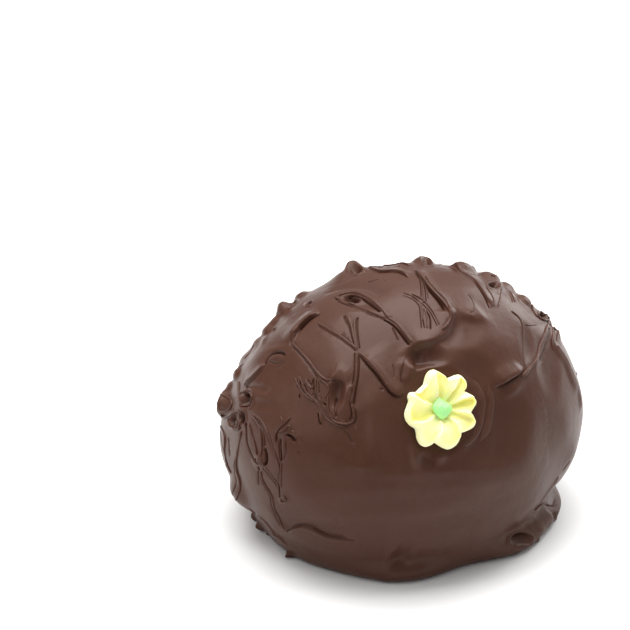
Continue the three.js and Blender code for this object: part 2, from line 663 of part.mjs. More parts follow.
// The skin with the most triangles, of those joined edge to edge. Where a cord spans a dip it shuts
// a small hollow in, and leaving that hollow's own skin out fills it.
function outerSkin(numbers, faces) {
  const count = faces.length / 3;
  const leader = Array.from({ length: count }, (_, index) => index);
  const leaderOf = (index) => {
    let at = index;
    while (leader[at] !== at) {
      leader[at] = leader[leader[at]];
      at = leader[at];
    }
    return at;
  };
  const beside = new Map();
  for (let face = 0; face < count; face += 1) {
    for (let side = 0; side < 3; side += 1) {
      const a = faces[face * 3 + side];
      const b = faces[face * 3 + (side + 1) % 3];
      const back = `${b},${a}`;
      if (beside.has(back)) leader[leaderOf(beside.get(back))] = leaderOf(face);
      beside.set(`${a},${b}`, face);
    }
  }
  const sizes = new Map();
  for (let face = 0; face < count; face += 1) {
    sizes.set(leaderOf(face), (sizes.get(leaderOf(face)) || 0) + 1);
  }
  const [largest] = [...sizes].sort((one, two) => two[1] - one[1])[0];
  const renamed = new Map();
  const keptNumbers = [];
  const keptFaces = [];
  faces.forEach((corner, place) => {
    if (leaderOf(Math.floor(place / 3)) !== largest) return;
    if (!renamed.has(corner)) {
      renamed.set(corner, keptNumbers.length / 3);
      keptNumbers.push(...numbers.slice(corner * 3, corner * 3 + 3));
    }
    keptFaces.push(renamed.get(corner));
  });
  return { numbers: keptNumbers, faces: keptFaces };
}

// Closes the edges shorter than a length: one end moves onto the other, where no face turns over and
// the two ends share just the two corners that keep the skin single.
function closeShortEdges(numbers, faces, shortest) {
  const at = (corner) => numbers.slice(corner * 3, corner * 3 + 3);
  const facesOf = new Map();
  const corners = [];
  for (let face = 0; face < faces.length / 3; face += 1) {
    corners.push([faces[face * 3], faces[face * 3 + 1], faces[face * 3 + 2]]);
    for (const corner of corners[face]) {
      if (!facesOf.has(corner)) facesOf.set(corner, new Set());
      facesOf.get(corner).add(face);
    }
  }
  const ring = (corner) => new Set([...facesOf.get(corner)].flatMap((face) => corners[face]));
  const faceNormal = ([a, b, c]) => cross(minus(at(b), at(a)), minus(at(c), at(a)));
  const turnsOver = (gone, kept) => [...facesOf.get(gone)].some((face) => {
    if (corners[face].includes(kept)) return false;
    const before = faceNormal(corners[face]);
    const after = faceNormal(corners[face].map((corner) => (corner === gone ? kept : corner)));
    return dot(before, after) <= 0.3 * Math.hypot(...before) * Math.hypot(...after);
  });
  for (const gone of [...facesOf.keys()]) {
    const near = [...ring(gone)]
      .filter((corner) => corner !== gone)
      .map((corner) => [Math.hypot(...minus(at(corner), at(gone))), corner])
      .filter(([length]) => length < shortest)
      .sort((one, two) => one[0] - two[0]);
    for (const [, kept] of near) {
      const around = ring(kept);
      const shared = [...ring(gone)].filter((corner) => around.has(corner) && ![gone, kept].includes(corner));
      if (shared.length !== 2 || turnsOver(gone, kept)) continue;
      for (const face of facesOf.get(gone)) {
        if (corners[face].includes(kept)) {
          corners[face].forEach((corner) => corner !== gone && facesOf.get(corner).delete(face));
          corners[face] = null;
        } else {
          corners[face] = corners[face].map((corner) => (corner === gone ? kept : corner));
          facesOf.get(kept).add(face);
        }
      }
      facesOf.delete(gone);
      break;
    }
  }
  return corners.filter(Boolean).flat();
}

// Where two parts of the skin only touch at a corner, each has that corner to itself, drawn back
// into its own side.
function partTouching(numbers, faces) {
  const drift = new Array(numbers.length).fill(0);
  for (let face = 0; face < faces.length; face += 3) {
    const [a, b, c] = [0, 1, 2].map((side) => {
      const first = faces[face + side] * 3;
      return numbers.slice(first, first + 3);
    });
    const normal = cross(minus(b, a), minus(c, a));
    for (let side = 0; side < 3; side += 1) {
      for (let axis = 0; axis < 3; axis += 1) drift[faces[face + side] * 3 + axis] += normal[axis];
    }
  }
  const seen = new Map();
  for (const corner of new Set(faces)) {
    const place = numbers.slice(corner * 3, corner * 3 + 3);
    const key = place.map((number) => Math.round(number * 200)).join();
    seen.set(key, [...(seen.get(key) || []), corner]);
  }
  const parted = [...numbers];
  for (const twins of seen.values()) {
    twins.forEach((corner, place) => {
      if (twins.length < 2) return;
      const inward = unit(drift.slice(corner * 3, corner * 3 + 3));
      for (let axis = 0; axis < 3; axis += 1) {
        parted[corner * 3 + axis] -= inward[axis] * TOUCH_GAP * (1 + place / 2);
      }
    });
  }
  return parted;
}

function buildEgg() {
  let whole = solid(buildSkin());
  for (const cord of cords) {
    if (cord.points.length > 2) whole = whole.add(solid(buildCord(cord)));
  }
  whole = whole.translate([CENTRE[0], CENTRE[1], 0]);
  for (let pass = 0; pass < 3; pass += 1) {
    const mesh = whole.getMesh();
    const { numbers, faces } = outerSkin(Array.from(mesh.vertProperties), Array.from(mesh.triVerts));
    const fewer = closeShortEdges(numbers, faces, CLOSED_EDGE);
    whole = solid({ numbers: partTouching(numbers, fewer), faces: fewer });
  }
  const mesh = whole.getMesh();
  return geometryOf(Array.from(mesh.vertProperties), Array.from(mesh.triVerts));
}

// ---- Icing flower ----
// A drop flower: each petal is a cupped lobe that curls round, with its rim turned up on one side.
const FLOWER_AROUND = 80;
const FLOWER_ROWS = 11;
const PETAL_TWIST = 0.25;      // turn of a petal's ridge from the middle to its tip, radians
const PETAL_NOTCH = 0.23;      // depth of the gap between two petals, of the reach

// Which petal a direction falls on, and how far across it, from 0 to 1. Petals meet halfway
// between their directions.
function petalAt(around) {
  const degrees = (around / RADIANS % 360 + 360) % 360;
  for (let index = 0; index < PETAL_TURNS.length; index += 1) {
    const here = PETAL_TURNS[index];
    const gapBefore = (here - PETAL_TURNS[(index + 7) % 8] + 360) % 360 / 2;
    const gapAfter = (PETAL_TURNS[(index + 1) % 8] - here + 360) % 360 / 2;
    const from = (degrees - (here - gapBefore) + 720) % 360;
    if (from < gapBefore + gapAfter) {
      const half = from < gapBefore ? from / gapBefore / 2 : 0.5 + (from - gapBefore) / gapAfter / 2;
      return { index, across: half };
    }
  }
  return { index: 0, across: 0 };
}

function flowerRim(around) {
  const { index, across } = petalAt(around);
  const beside = PETAL_REACH[(index + (across < 0.5 ? 7 : 1)) % 8];
  const near = PETAL_REACH[index] + (beside - PETAL_REACH[index]) * Math.abs(across - 0.5);
  const lobe = Math.sin(Math.PI * across) ** 0.55;
  return near * (1 - PETAL_NOTCH + PETAL_NOTCH * lobe);
}

function flowerTop(around, share) {
  const turned = around - PETAL_TWIST * share;
  const { across } = petalAt(turned);
  const cup = Math.sin(Math.PI * across) ** 0.6;
  const ridge = across ** 1.6 * (1 - across ** 9) * 1.35;
  const open = ease((share * flowerRim(around) - CENTRE_RADIUS - 0.1) / 3.6);
  const rim = PETAL_RISE * open * (0.35 + 0.65 * ridge) * (0.4 + 0.6 * cup);
  const end = 1 - ease((share - 0.86) / 0.14) * 0.45;
  return PETAL_BASE + (PETAL_BODY + rim) * end;
}

function buildFlower() {
  const numbers = [0, 0, flowerTop(0, 0)];
  const faces = [];
  const ringStart = (row) => 1 + row * FLOWER_AROUND;
  const rows = [];
  for (let row = 1; row <= FLOWER_ROWS; row += 1) rows.push(['top', row / FLOWER_ROWS]);
  rows.push(['under', 0.97], ['under', 0.6]);
  for (const [side, share] of rows) {
    for (let i = 0; i < FLOWER_AROUND; i += 1) {
      const around = i / FLOWER_AROUND * 2 * Math.PI;
      const reach = flowerRim(around) * share;
      const high = side === 'top' ? flowerTop(around, share) : Math.max(0, share - 0.6) * 2.2;
      numbers.push(reach * Math.cos(around), reach * Math.sin(around), high);
    }
  }
  numbers.push(0, 0, 0);
  const bottom = numbers.length / 3 - 1;
  for (let i = 0; i < FLOWER_AROUND; i += 1) {
    const next = (i + 1) % FLOWER_AROUND;
    faces.push(0, ringStart(0) + i, ringStart(0) + next);
    for (let row = 0; row + 1 < rows.length; row += 1) {
      const a = ringStart(row) + i;
      const b = ringStart(row) + next;
      const c = ringStart(row + 1) + i;
      const d = ringStart(row + 1) + next;
      faces.push(a, c, d, a, d, b);
    }
    const rim = ringStart(rows.length - 1);
    faces.push(bottom, rim + next, rim + i);
  }
  return geometryOf(numbers, faces);
}

// ---- Centre of the flower: a small dot of icing with a slightly pulled tip ----
function buildCentre() {
  const outline = [
    [0, 0], [0.55, 0.02], [0.86, 0.14], [1, 0.42], [0.9, 0.72], [0.62, 0.93], [0.28, 1.02], [0, 1.06],
  ];
  const profile = outline.map(([r, h]) => new THREE.Vector2(r * CENTRE_RADIUS, h * CENTRE_RISE));
  return new THREE.LatheGeometry(profile, 24).rotateX(Math.PI / 2);
}

// ---- Assembly ----
const chocolate = new THREE.MeshStandardMaterial({ color: 0x4a332b, roughness: 0.42, metalness: 0 });
const yellowIcing = new THREE.MeshStandardMaterial({ color: 0xfbf08c, roughness: 0.7, metalness: 0 });
const greenIcing = new THREE.MeshStandardMaterial({ color: 0xa9ea90, roughness: 0.6, metalness: 0 });

const part = new THREE.Group();
const egg = new THREE.Mesh(buildEgg(), chocolate);
egg.name = 'chocolate_egg';
part.add(egg);

// The flower's own upright is the axis of its seat, and its zero direction runs along the sheet.
const stand = new THREE.Group();
const flowerX = unit(plus(sheetRight, flowerAxis, -dot(sheetRight, flowerAxis)));
const flowerY = cross(flowerAxis, flowerX);
const turned = new THREE.Matrix4().makeBasis(
  new THREE.Vector3(...flowerX), new THREE.Vector3(...flowerY), new THREE.Vector3(...flowerAxis),
);
stand.setRotationFromMatrix(turned);
const foot = plus(seatMiddle, flowerAxis, FLOWER_GAP);
stand.position.set(foot[0] + CENTRE[0], foot[1] + CENTRE[1], foot[2]);
part.add(stand);

const flower = new THREE.Mesh(buildFlower(), yellowIcing);
flower.name = 'icing_flower';
stand.add(flower);

const centre = new THREE.Mesh(buildCentre(), greenIcing);
centre.name = 'flower_centre';
centre.position.z = PETAL_BASE + PETAL_BODY + FLOWER_GAP;
stand.add(centre);

export default part;
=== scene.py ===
# %% [markdown]
# # A hand-dipped chocolate egg
# The egg is covered in dark brown couverture. It was dipped by hand and set down on its side, so
# it has a flat underside and a foot where the coating pooled. Fingers dragged threads of
# chocolate over the top, and a small yellow icing flower was piped on its side. A sculpted mesh
# could show all this, but here every form is a formula over numpy arrays, so that each mark keeps
# a size that can be read and changed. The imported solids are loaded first, because every piece has
# to stay where they are, and their box is noted.

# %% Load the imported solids
import math

import bpy
import numpy as np
from mathutils import Matrix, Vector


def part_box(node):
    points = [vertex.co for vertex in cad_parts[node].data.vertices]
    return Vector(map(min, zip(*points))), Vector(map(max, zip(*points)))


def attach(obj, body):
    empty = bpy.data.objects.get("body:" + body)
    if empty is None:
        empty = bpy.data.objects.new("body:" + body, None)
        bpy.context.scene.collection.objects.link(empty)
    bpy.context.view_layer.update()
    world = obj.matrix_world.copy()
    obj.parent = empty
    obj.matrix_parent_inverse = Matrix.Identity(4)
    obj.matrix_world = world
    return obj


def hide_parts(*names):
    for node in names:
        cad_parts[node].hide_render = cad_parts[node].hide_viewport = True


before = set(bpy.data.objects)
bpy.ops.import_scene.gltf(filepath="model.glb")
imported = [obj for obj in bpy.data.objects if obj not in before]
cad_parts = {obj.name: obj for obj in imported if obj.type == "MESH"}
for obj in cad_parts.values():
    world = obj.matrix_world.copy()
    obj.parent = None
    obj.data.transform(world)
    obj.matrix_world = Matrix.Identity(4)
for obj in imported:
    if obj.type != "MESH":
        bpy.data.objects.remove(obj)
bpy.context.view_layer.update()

# %% [markdown]
# ## A view and a drawing sheet
# The egg is seen through a long lens from a little above. Its marks could be placed in space one
# by one, but three coordinates each are hard to guess. A flat sheet, square to that view and just
# in front of the egg, is a better place to draw on: a mark gets two coordinates there, in
# millimetres across and up, and is carried back along the lines of sight until it meets the egg.

# %% Set up the view and the camera
TURN, RISE, ROLL = math.radians(25.0), math.radians(26.9), math.radians(2.0)
DISTANCE = 747.0          # from the lens to the sheet, mm
LENS, SENSOR = 160.0, 36.0
MIDDLE = np.array([0.228, -1.653, 0.0])   # puts the middle of the outline at the origin
AIM_BEYOND = 12.6         # how far behind the origin the view is aimed, mm
AIM = np.array([math.sin(TURN), math.cos(TURN), 0.0]) * AIM_BEYOND
SHEET_LIFT = 16.0         # height of the sheet's zero above the aim, along the sheet
EYE_ACROSS, EYE_UP = -22.7, 44.0

look = np.array([math.sin(TURN) * math.cos(RISE), math.cos(TURN) * math.cos(RISE), -math.sin(RISE)])
level = np.cross(look, [0.0, 0.0, 1.0])
level /= np.linalg.norm(level)
upright = np.cross(level, look)
sheet_right = level * math.cos(ROLL) + upright * math.sin(ROLL)
sheet_up = upright * math.cos(ROLL) - level * math.sin(ROLL)
eye = AIM + EYE_ACROSS * sheet_right + EYE_UP * sheet_up - DISTANCE * look
scene = bpy.context.scene


def show(name, data):
    """A new object in the scene that shows the data."""
    made = bpy.data.objects.new(name, data)
    scene.collection.objects.link(made)
    return made


def turn_and_place(thing, right, up, back, place):
    """Points an object's own x, y and z along right, up and back, and moves it to a place in m."""
    turned = np.eye(4)
    turned[:3] = np.stack([right, up, back, place], 1)
    thing.matrix_world = Matrix(turned.tolist())


lens = bpy.data.cameras.new("view")
lens.lens, lens.sensor_width, lens.clip_start, lens.clip_end = LENS, SENSOR, 0.05, 20.0
camera = show("view", lens)
turn_and_place(camera, sheet_right, sheet_up, -look, (eye + MIDDLE) * 0.001)
scene.camera = camera
print("camera at", np.round((eye + MIDDLE) * 0.001, 3))

# %% [markdown]
# ## The smooth shell
# Under all the marks lies a smooth egg. A scaled sphere would come close, but it has no narrower
# end and no flat underside, so the plan is an ellipse with one end narrower, times a dome for the
# height. Every later shape is a distance out from this shell, so it is written as a function of
# two parameters, and whole arrays go through it at once.

# %% Write the shell as a function of two parameters
HALF_LENGTH, HALF_WIDTH, TAPER = 48.0, 40.0, 0.1
HEIGHT, WIDEST = 66.5, 25.0
CROWN_POWER, FLOOR_RATIO = 1.86, 0.8
floor_angle = math.acos(FLOOR_RATIO)
# Broad swells of the body: azimuth and elevation in degrees, share, spread in degrees.
SWELLS = [(300, 20, 0.01, 22), (30, 55, 0.015, 20), (140, 40, -0.01, 25), (70, 20, 0.012, 20)]


def ease(x):
    """Smooth step: 3t^2 - 2t^3 of x held between 0 and 1."""
    t = np.clip(x, 0.0, 1.0)
    return t * t * (3 - 2 * t)


def unit(vectors):
    """Each vector over its own length."""
    return vectors / np.maximum(np.linalg.norm(vectors, axis=-1, keepdims=True), 1e-9)


def swell(points):
    """Sum of bells over the angle between a point's direction and each swell's direction."""
    way = unit(points)
    total = np.zeros(points.shape[:-1])
    for azimuth, elevation, share, spread in SWELLS:
        a, e = math.radians(azimuth), math.radians(elevation)
        toward = [math.cos(e) * math.cos(a), math.cos(e) * math.sin(a), math.sin(e)]
        angle = np.degrees(np.arccos(np.clip(way @ np.array(toward), -1, 1)))
        total += share * np.exp(-0.5 * (angle / spread) ** 2)
    return total


def shell(around, row):
    """Row 0 is the top, 1 the widest height, 2 the table. Above, reach and height are powered
    cosine and sine of a quarter turn; below, the circle that narrows to FLOOR_RATIO."""
    high = (1 - np.clip(row, 0, 1)) * math.pi / 2
    low = np.clip(row - 1, 0, 1) * floor_angle
    power = 2 / CROWN_POWER
    above = row <= 1
    reach = np.where(above, np.maximum(np.cos(high), 0) ** power, np.cos(low))
    z_above = WIDEST + (HEIGHT - WIDEST) * np.sin(high) ** power
    z_below = WIDEST * (1 - np.sin(low) / math.sin(floor_angle))
    x = HALF_LENGTH * np.cos(around) * reach
    y = HALF_WIDTH * np.sin(around) * (1 - TAPER * np.cos(around)) * reach
    points = np.stack([x, y, np.maximum(np.where(above, z_above, z_below), 0)], -1)
    return points * (1 + swell(points))[..., None]


def shell_normal(around, row):
    """Cross product of two small differences of the shell, down the rows and around; it starts a
    little below the top, where the columns meet."""
    step, low = 0.004, np.maximum(row, 0.02)
    east = shell(around + step, low) - shell(around - step, low)
    south = shell(around, low + step) - shell(around, low - step)
    return unit(np.cross(south, east))


def shell_side(points):
    """Below zero inside the shell: the plan's ellipse test at the reach of the point's height."""
    p = points / (1 + swell(points))[..., None]
    up = np.clip((p[..., 2] - WIDEST) / (HEIGHT - WIDEST), 0, 1)
    down = np.clip((WIDEST - p[..., 2]) / WIDEST * math.sin(floor_angle), 0, 1)
    above = p[..., 2] > WIDEST
    reach = np.where(above, (1 - up**CROWN_POWER) ** (1 / CROWN_POWER), np.sqrt(1 - down**2))
    reach = np.maximum(reach, 1e-4)
    across = p[..., 0] / (reach * HALF_LENGTH)
    width = reach * HALF_WIDTH * (1 - TAPER * np.clip(across, -1.5, 1.5))
    return across**2 + (p[..., 1] / width) ** 2 - 1


print("shell top", np.round(shell(np.array(0.0), np.array(0.0)), 2))

# %% [markdown]
# ## From the sheet to the egg
# Blender can cast rays at a mesh, but the shell is a formula, so a line of sight is just walked in
# steps of a millimetre until it is inside, then halved to a hair. A mark that is drawn just off
# the outline is drawn in a little until it touches.


# %% Carry points from the sheet to the shell
NEAREST, FARTHEST, WALK_STEP = DISTANCE - 80, DISTANCE + 60, 1.0   # walked part of a line, mm
HALVINGS = 18
PULLS, PULL_SHARE = 14, 0.01   # how often a mark that misses is drawn in, and by what share


def sight(marks):
    """Unit direction from the eye to each mark (across, up) of the sheet."""
    marks = np.asarray(marks, float).reshape(-1, 2)
    return unit(AIM + marks[:, :1] * sheet_right + (SHEET_LIFT + marks[:, 1:]) * sheet_up - eye)


def onto_shell(marks):
    """First meeting of the shell with the line from the eye through each mark (across, up)."""
    marks = np.asarray(marks, float).reshape(-1, 2)
    found = np.zeros((len(marks), 3))
    left = np.arange(len(marks))
    far = np.arange(NEAREST, FARTHEST, WALK_STEP)
    for pull in range(PULLS):
        way = sight(marks[left] * (1 - PULL_SHARE * pull))
        walk = eye + way[:, None] * far[None, :, None]
        inside = (shell_side(walk) < 0) & (walk[..., 2] > 0)
        hit = inside.any(1)
        high, ray = far[inside.argmax(1)][hit], way[hit]
        low = high - WALK_STEP
        for _ in range(HALVINGS):
            middle = (low + high) / 2
            within = shell_side(eye + ray * middle[:, None]) < 0
            high = np.where(within, middle, high)
            low = np.where(within, low, middle)
        found[left[hit]] = eye + ray * high[:, None]
        left = left[~hit]
        if not len(left):
            break
    return found


def flowing(points, step=0.7):
    """A curve through the points: each span is the Catmull-Rom cubic of its four neighbours."""
    p = np.asarray(points, float)
    p = np.vstack([2 * p[0] - p[1], p, 2 * p[-1] - p[-2]])
    spans = []
    for a, b, c, d in zip(p[:-3], p[1:-2], p[2:-1], p[3:]):
        t = np.linspace(0, 1, max(2, int(np.linalg.norm(c - b) / step) + 1), endpoint=False)[:, None]
        cubic = 2 * b + (c - a) * t + (2 * a - 5 * b + 4 * c - d) * t**2
        spans.append(0.5 * (cubic + (3 * b - a - 3 * c + d) * t**3))
    return np.vstack(spans + [p[-2:-1]])


print("flower's place", np.round(onto_shell([(11, 2.7)]), 1))

# %% [markdown]
# ## The marks of the crown
# The top of the egg carries the longest marks: a tongue of coating that slid down and stopped
# above the flower, thick strands, and threads as thin as twine that cross each other. They could
# be sculpted or painted as a height map. Short runs of points on the sheet say the same in a few
# numbers, and five kinds of mark are enough. A thread is a round cord half sunk in the coating. A
# flap is a step that stands higher on the left of its direction and overhangs. A crease is a
# narrow dark line pressed in. A swelling is a broad soft ridge. A lump is a bell, and a negative
# lump is a hollow. Two half widths mean that a mark widens or narrows along its run.

# %% Draw the marks of the crown
THREADS = []     # (points, half width, height)
FLAPS = []       # (points, height, run of the high side, overhang, half width of the edge)
CREASES = []     # (points, half width, depth)
SWELLINGS = []   # (points, half width, height)
LUMPS = []       # (across, up, radius across, radius up, turn in degrees, height)

THREADS += [
    # the two strands around the pit, and the one that goes on beside the groove
    ([(-16.6, 33.2), (-14, 34), (-12, 34.2), (-10, 33.6), (-8, 32.5), (-6, 30.9), (-4.4, 29.2),
      (-3, 27.6), (-1.8, 26.6)], (.7, 1.1), .5),
    ([(-17.6, 32.9), (-16, 32.1), (-14.4, 31.3), (-12.4, 30.7), (-10, 29.7), (-7.6, 28.6), (-5.4, 27.7),
      (-3.6, 27)], (.4, .6), .42),
    ([(-3.6, 27.4), (-1.6, 26.3), (-.2, 25.1), (1.2, 23.4), (2.6, 21.6), (3.6, 20.2)], (.7, .9), .42),
    # the crossing threads
    ([(-13.9, 27.6), (-13, 25.4), (-12.5, 22.8), (-11.9, 20), (-11.5, 18.4)], (.75, .35), .38),
    ([(-12, 27.4), (-12.2, 25), (-12, 22.6), (-11.6, 20), (-11.4, 18.4)], (.65, .35), .38),
    ([(-22, 25.9), (-20, 24.8), (-18, 23.6), (-16, 22.4), (-14, 20.9), (-12.6, 19.9),
      (-11.5, 18.9)], .42, .3),
    ([(-11.4, 18.4), (-11.5, 14), (-11.7, 11), (-12.2, 8), (-12.8, 5.6), (-12.9, 4)], (.5, .45), .5),
    ([(-10.9, 18), (-9.6, 17), (-8, 15.6), (-6, 13.4), (-4.2, 10.8), (-2.6, 8.6)], .4, .25),
    # the bundle inside the ring
    ([(4.9, 39.8), (5.8, 37.6), (6.1, 35.4), (6.2, 33), (6.3, 31)], .32, .4),
    ([(5.8, 38.8), (6.8, 36.6), (7.3, 34.4), (7.5, 32.2)], .32, .3),
    ([(.8, 33.9), (2.6, 33.3), (4.4, 32.3), (5.6, 30.8), (5.9, 28.6), (6, 26.4)], .32, .25),
    ([(3, 33.6), (5.4, 32.4), (7, 31), (8.4, 29.2), (9.4, 27.2), (10.3, 24.8)], .36, .38),
    ([(6.3, 29.8), (6.9, 28.2), (7.1, 26.4), (7.1, 24)], .38, .35),
    ([(6.9, 38), (8.6, 35.5), (10.4, 33.4), (12.2, 31.5), (13.2, 29.6), (13.4, 27.8), (13, 26.2),
      (12, 24.6), (10.6, 23.4)], (.45, .7), .5),
    ([(18, 33.6), (19.1, 32.2), (19.7, 30.4), (19.4, 29), (18.4, 28.3)], .3, .2),
    # edges under the skyline
    ([(-8.4, 40.4), (-6, 41), (-3, 41.2), (0, 41.4), (2.6, 41)], .4, .4),
    ([(24.4, 30.2), (24.9, 31.4), (24.2, 33.2), (22.8, 35.2)], .35, .3),
    ([(26.9, 34.6), (26.5, 32), (26, 30)], .4, .3),
    ([(29.4, 34.6), (30, 32.8), (30.5, 31.2)], .3, .35),
]
FLAPS += [
    ([(-10.6, 17.3), (-8.6, 15.3), (-6.5, 13), (-4.6, 10.6), (-3.3, 8.7), (-1.8, 7.3), (0, 6.7),
      (1.8, 7.1), (3, 8.4)], .75, 5, .3, .4),
    ([(2.8, 8.2), (3.5, 10.2), (3.7, 12.5), (3.6, 15), (3, 17.6)], .7, 3, .15, .7),
    ([(3.8, 40.4), (5.3, 38.8), (6.7, 37), (8.1, 35), (9.7, 33.2), (11.3, 31.4), (12.5, 29.8),
      (12.9, 28), (12.5, 26.4)], .6, 2, .55, .3),
    ([(2.4, 19.2), (6, 19.8), (9, 20.6), (11.6, 22), (13.4, 24.2), (14.4, 27),
      (14.2, 29.8)], .9, 5, .1, .9),
    ([(12, 41), (14.2, 40.5), (16.2, 39.2), (18.4, 38), (20, 36.8), (21.4, 35), (22.6, 33.2),
      (23.8, 31.2), (24.4, 29.8)], .42, 2, .4, .25),
    ([(14.8, 27.2), (17, 27.4), (19, 26.8), (21.6, 26.6), (24, 27.2)], .5, 4.5, .1, 1.5),
    ([(-8.6, 40.1), (-6, 39.5), (-4, 39.5), (-2, 39.7), (0, 39.5), (1.2, 39),
      (2.2, 38.1)], .5, 1.5, .3, .3),
    ([(-21, 33.2), (-17, 34.6), (-12, 35.3), (-8, 34.6), (-5, 32.8)], -.4, 3, 0, 1.0),
]
CREASES += [
    ([(-13.9, 33), (-12.4, 33.3), (-10.6, 32.8), (-9, 31.8), (-7.4, 30.5), (-6, 29.3),
      (-5.3, 28.7)], (.35, .5), 1.0),
    ([(-16.6, 31.6), (-14.4, 30.6), (-12, 29.9), (-9.8, 28.9), (-7.8, 27.9), (-5.4, 27.1),
      (-4, 26.5)], .26, .4),
    ([(-4.4, 26.7), (-2.8, 25.8), (-1.4, 24.8), (0, 23.2), (1.4, 21.4), (2.5, 19.9)], (.3, .6), .85),
    ([(-2, 24.6), (-1.4, 23.2), (-.5, 21.2)], .32, .35),
    ([(-17.5, 32.2), (-15.9, 32.1)], .45, .5),
    ([(-22, 25.2), (-20, 24), (-18, 22.8), (-16, 21.6), (-14, 20.1), (-12.6, 19.1),
      (-11.9, 18.3)], .27, .42),
    ([(-15.8, 22.7), (-14, 21.4), (-12.7, 20.3)], .2, .22),
    ([(-14.9, 27.6), (-14.5, 26.4), (-13.7, 25), (-13, 22.8), (-12.3, 20.3)], (.5, .25), .5),
    ([(-11.3, 27.2), (-11.5, 25.4), (-11.4, 23), (-11.1, 21), (-10.8, 19)], (.42, .25), .45),
    ([(-12.1, 17.8), (-12.1, 14), (-12.3, 11), (-12.8, 9)], .2, .4),
    ([(-10.8, 17.4), (-10.9, 14), (-11.1, 11), (-11.6, 8.4), (-12.1, 6), (-12.3, 4)], .24, .42),
    ([(-10.8, 17), (-8.8, 15), (-6.7, 12.7), (-4.9, 10.3), (-3.7, 8.6), (-2.4, 7.1), (-.8, 6.2),
      (.8, 6.1)], (.32, .48), .55),
    ([(-2, 14.8), (-1.5, 12.6), (-1.7, 11)], .3, .2),
    ([(-6.4, 40.2), (-4, 40.4), (-2, 40.7), (0, 40.9)], .32, .6),
    ([(-6, 39.3), (-4, 39.4), (-2, 39.5), (-.4, 39.4), (1, 38.9), (2, 38.1)], .28, .45),
    ([(-8.8, 37.1), (-7.2, 37.4), (-5.7, 37.7)], .25, .4), ([(-4.6, 37.6), (-4, 37)], .2, .2),
    ([(4.6, 39.4), (6.2, 37.2), (7.6, 35), (9.2, 33), (10.6, 31.3), (11.4, 30), (11.7, 28.8)], (.28, .7),
      1.0),
    ([(4.3, 39.8), (5.2, 37.9), (5.5, 35.4), (5.6, 32.8)], .2, .4),
    ([(6.2, 36.8), (6.6, 35), (6.8, 33), (6.9, 31.4)], .2, .4),
    ([(.6, 33.2), (2.4, 32.6), (4, 31.6), (5.1, 30.2), (5.3, 28.4), (5.5, 26.2), (5.6, 24.2)], .2, .36),
    ([(3.2, 32.8), (5, 31.6), (6.6, 30.2), (7.9, 28.6), (8.9, 26.6), (9.7, 24.6)], .2, .36),
    ([(6, 29.5), (6, 27), (6.4, 24.2)], .22, .42),
    ([(6.6, 29.4), (7.6, 27.8), (8, 26), (7.9, 23.8)], (.22, .32), .55),
    ([(10, 41.1), (12, 40.8), (14, 40.2), (16, 38.9), (18, 37.8), (19.6, 36.7), (20.8, 35.2),
      (21.9, 33.6), (22.9, 32), (23.5, 30.6), (23.8, 29.8)], (.22, .42), .8),
    ([(20.6, 38.5), (22.6, 38.3), (24.6, 37.3)], .3, .45), ([(24.1, 38.4), (25.5, 37.8)], .35, .8),
    ([(28.6, 34.8), (29.4, 33), (29.8, 31.2)], .3, .3),
]
LUMPS += [
    # peaks of the skyline with their small pits
    (-12.6, 41.0, 2.0, 1.2, -14, 2.4), (-10, 40.9, 2.4, .8, -10, .7), (-16.4, 37.8, 2.2, .8, 32, .7),
    (-11.8, 39.9, 1.3, .5, -10, -2.0), (-15.4, 39.8, 1.8, .9, 38, .9), (6.0, 42.2, 1.9, 1.0, -6, 1.7),
    (6.9, 41.6, 1.2, .5, -38, -2.0), (1.4, 41.4, 1.8, .6, 0, .6), (17.4, 41.2, 2.0, .9, -14, 1.9),
    (28.6, 35.6, 1.6, .9, -40, 1.0), (33.2, 31.8, 1.7, .9, -42, 1.3), (24.4, 38.6, 2.0, .9, -22, 1.5),
    (26.4, 37.4, 1.0, 1.2, 0, .6), (25, 35.7, 1.25, .6, 14, -1.7), (26.4, 35.2, .6, 1.6, -16, .7),
    # the pit between the strands, the hollow above the flower, soft swellings
    (-13.2, 32.2, 1.35, .62, -6, -1.9), (-10.2, 31.2, 2.6, .8, -28, -.45), (7, 16.4, 3.0, 1.9, 0, -1.2),
    (4.6, 16.2, 1.3, 1.9, 15, -.5), (6.6, 18.5, .6, 1.6, -8, .45), (7.4, 13.6, 2.6, .8, -4, .5),
    (-13, 28.4, 1.9, .6, 0, .25), (16.6, 24, 3.6, 2.6, 10, -.45), (18.6, 27.6, .9, .35, -20, .25),
    (15, 33, 4, 3.4, 0, .3), (-17, 18, 5, 4, 0, .25), (-5, 18, 4, 4, 0, .2),
]


def count_marks():
    """Says how many marks of each kind are drawn so far."""
    kinds = {"threads": THREADS, "flaps": FLAPS, "creases": CREASES, "swellings": SWELLINGS, "lumps": LUMPS}
    print(", ".join(f"{len(marks)} {kind}" for kind, marks in kinds.items()))


count_marks()

# %% [markdown]
# ## The marks of the left end
# Here the threads were let go: they end in small rings and knots, and from the knots long strings
# run down the side. Between them are a scribble of short loops and one deep pocket. The same five
# kinds of mark draw them: a ring is a thread that closes, with a hollow in it.

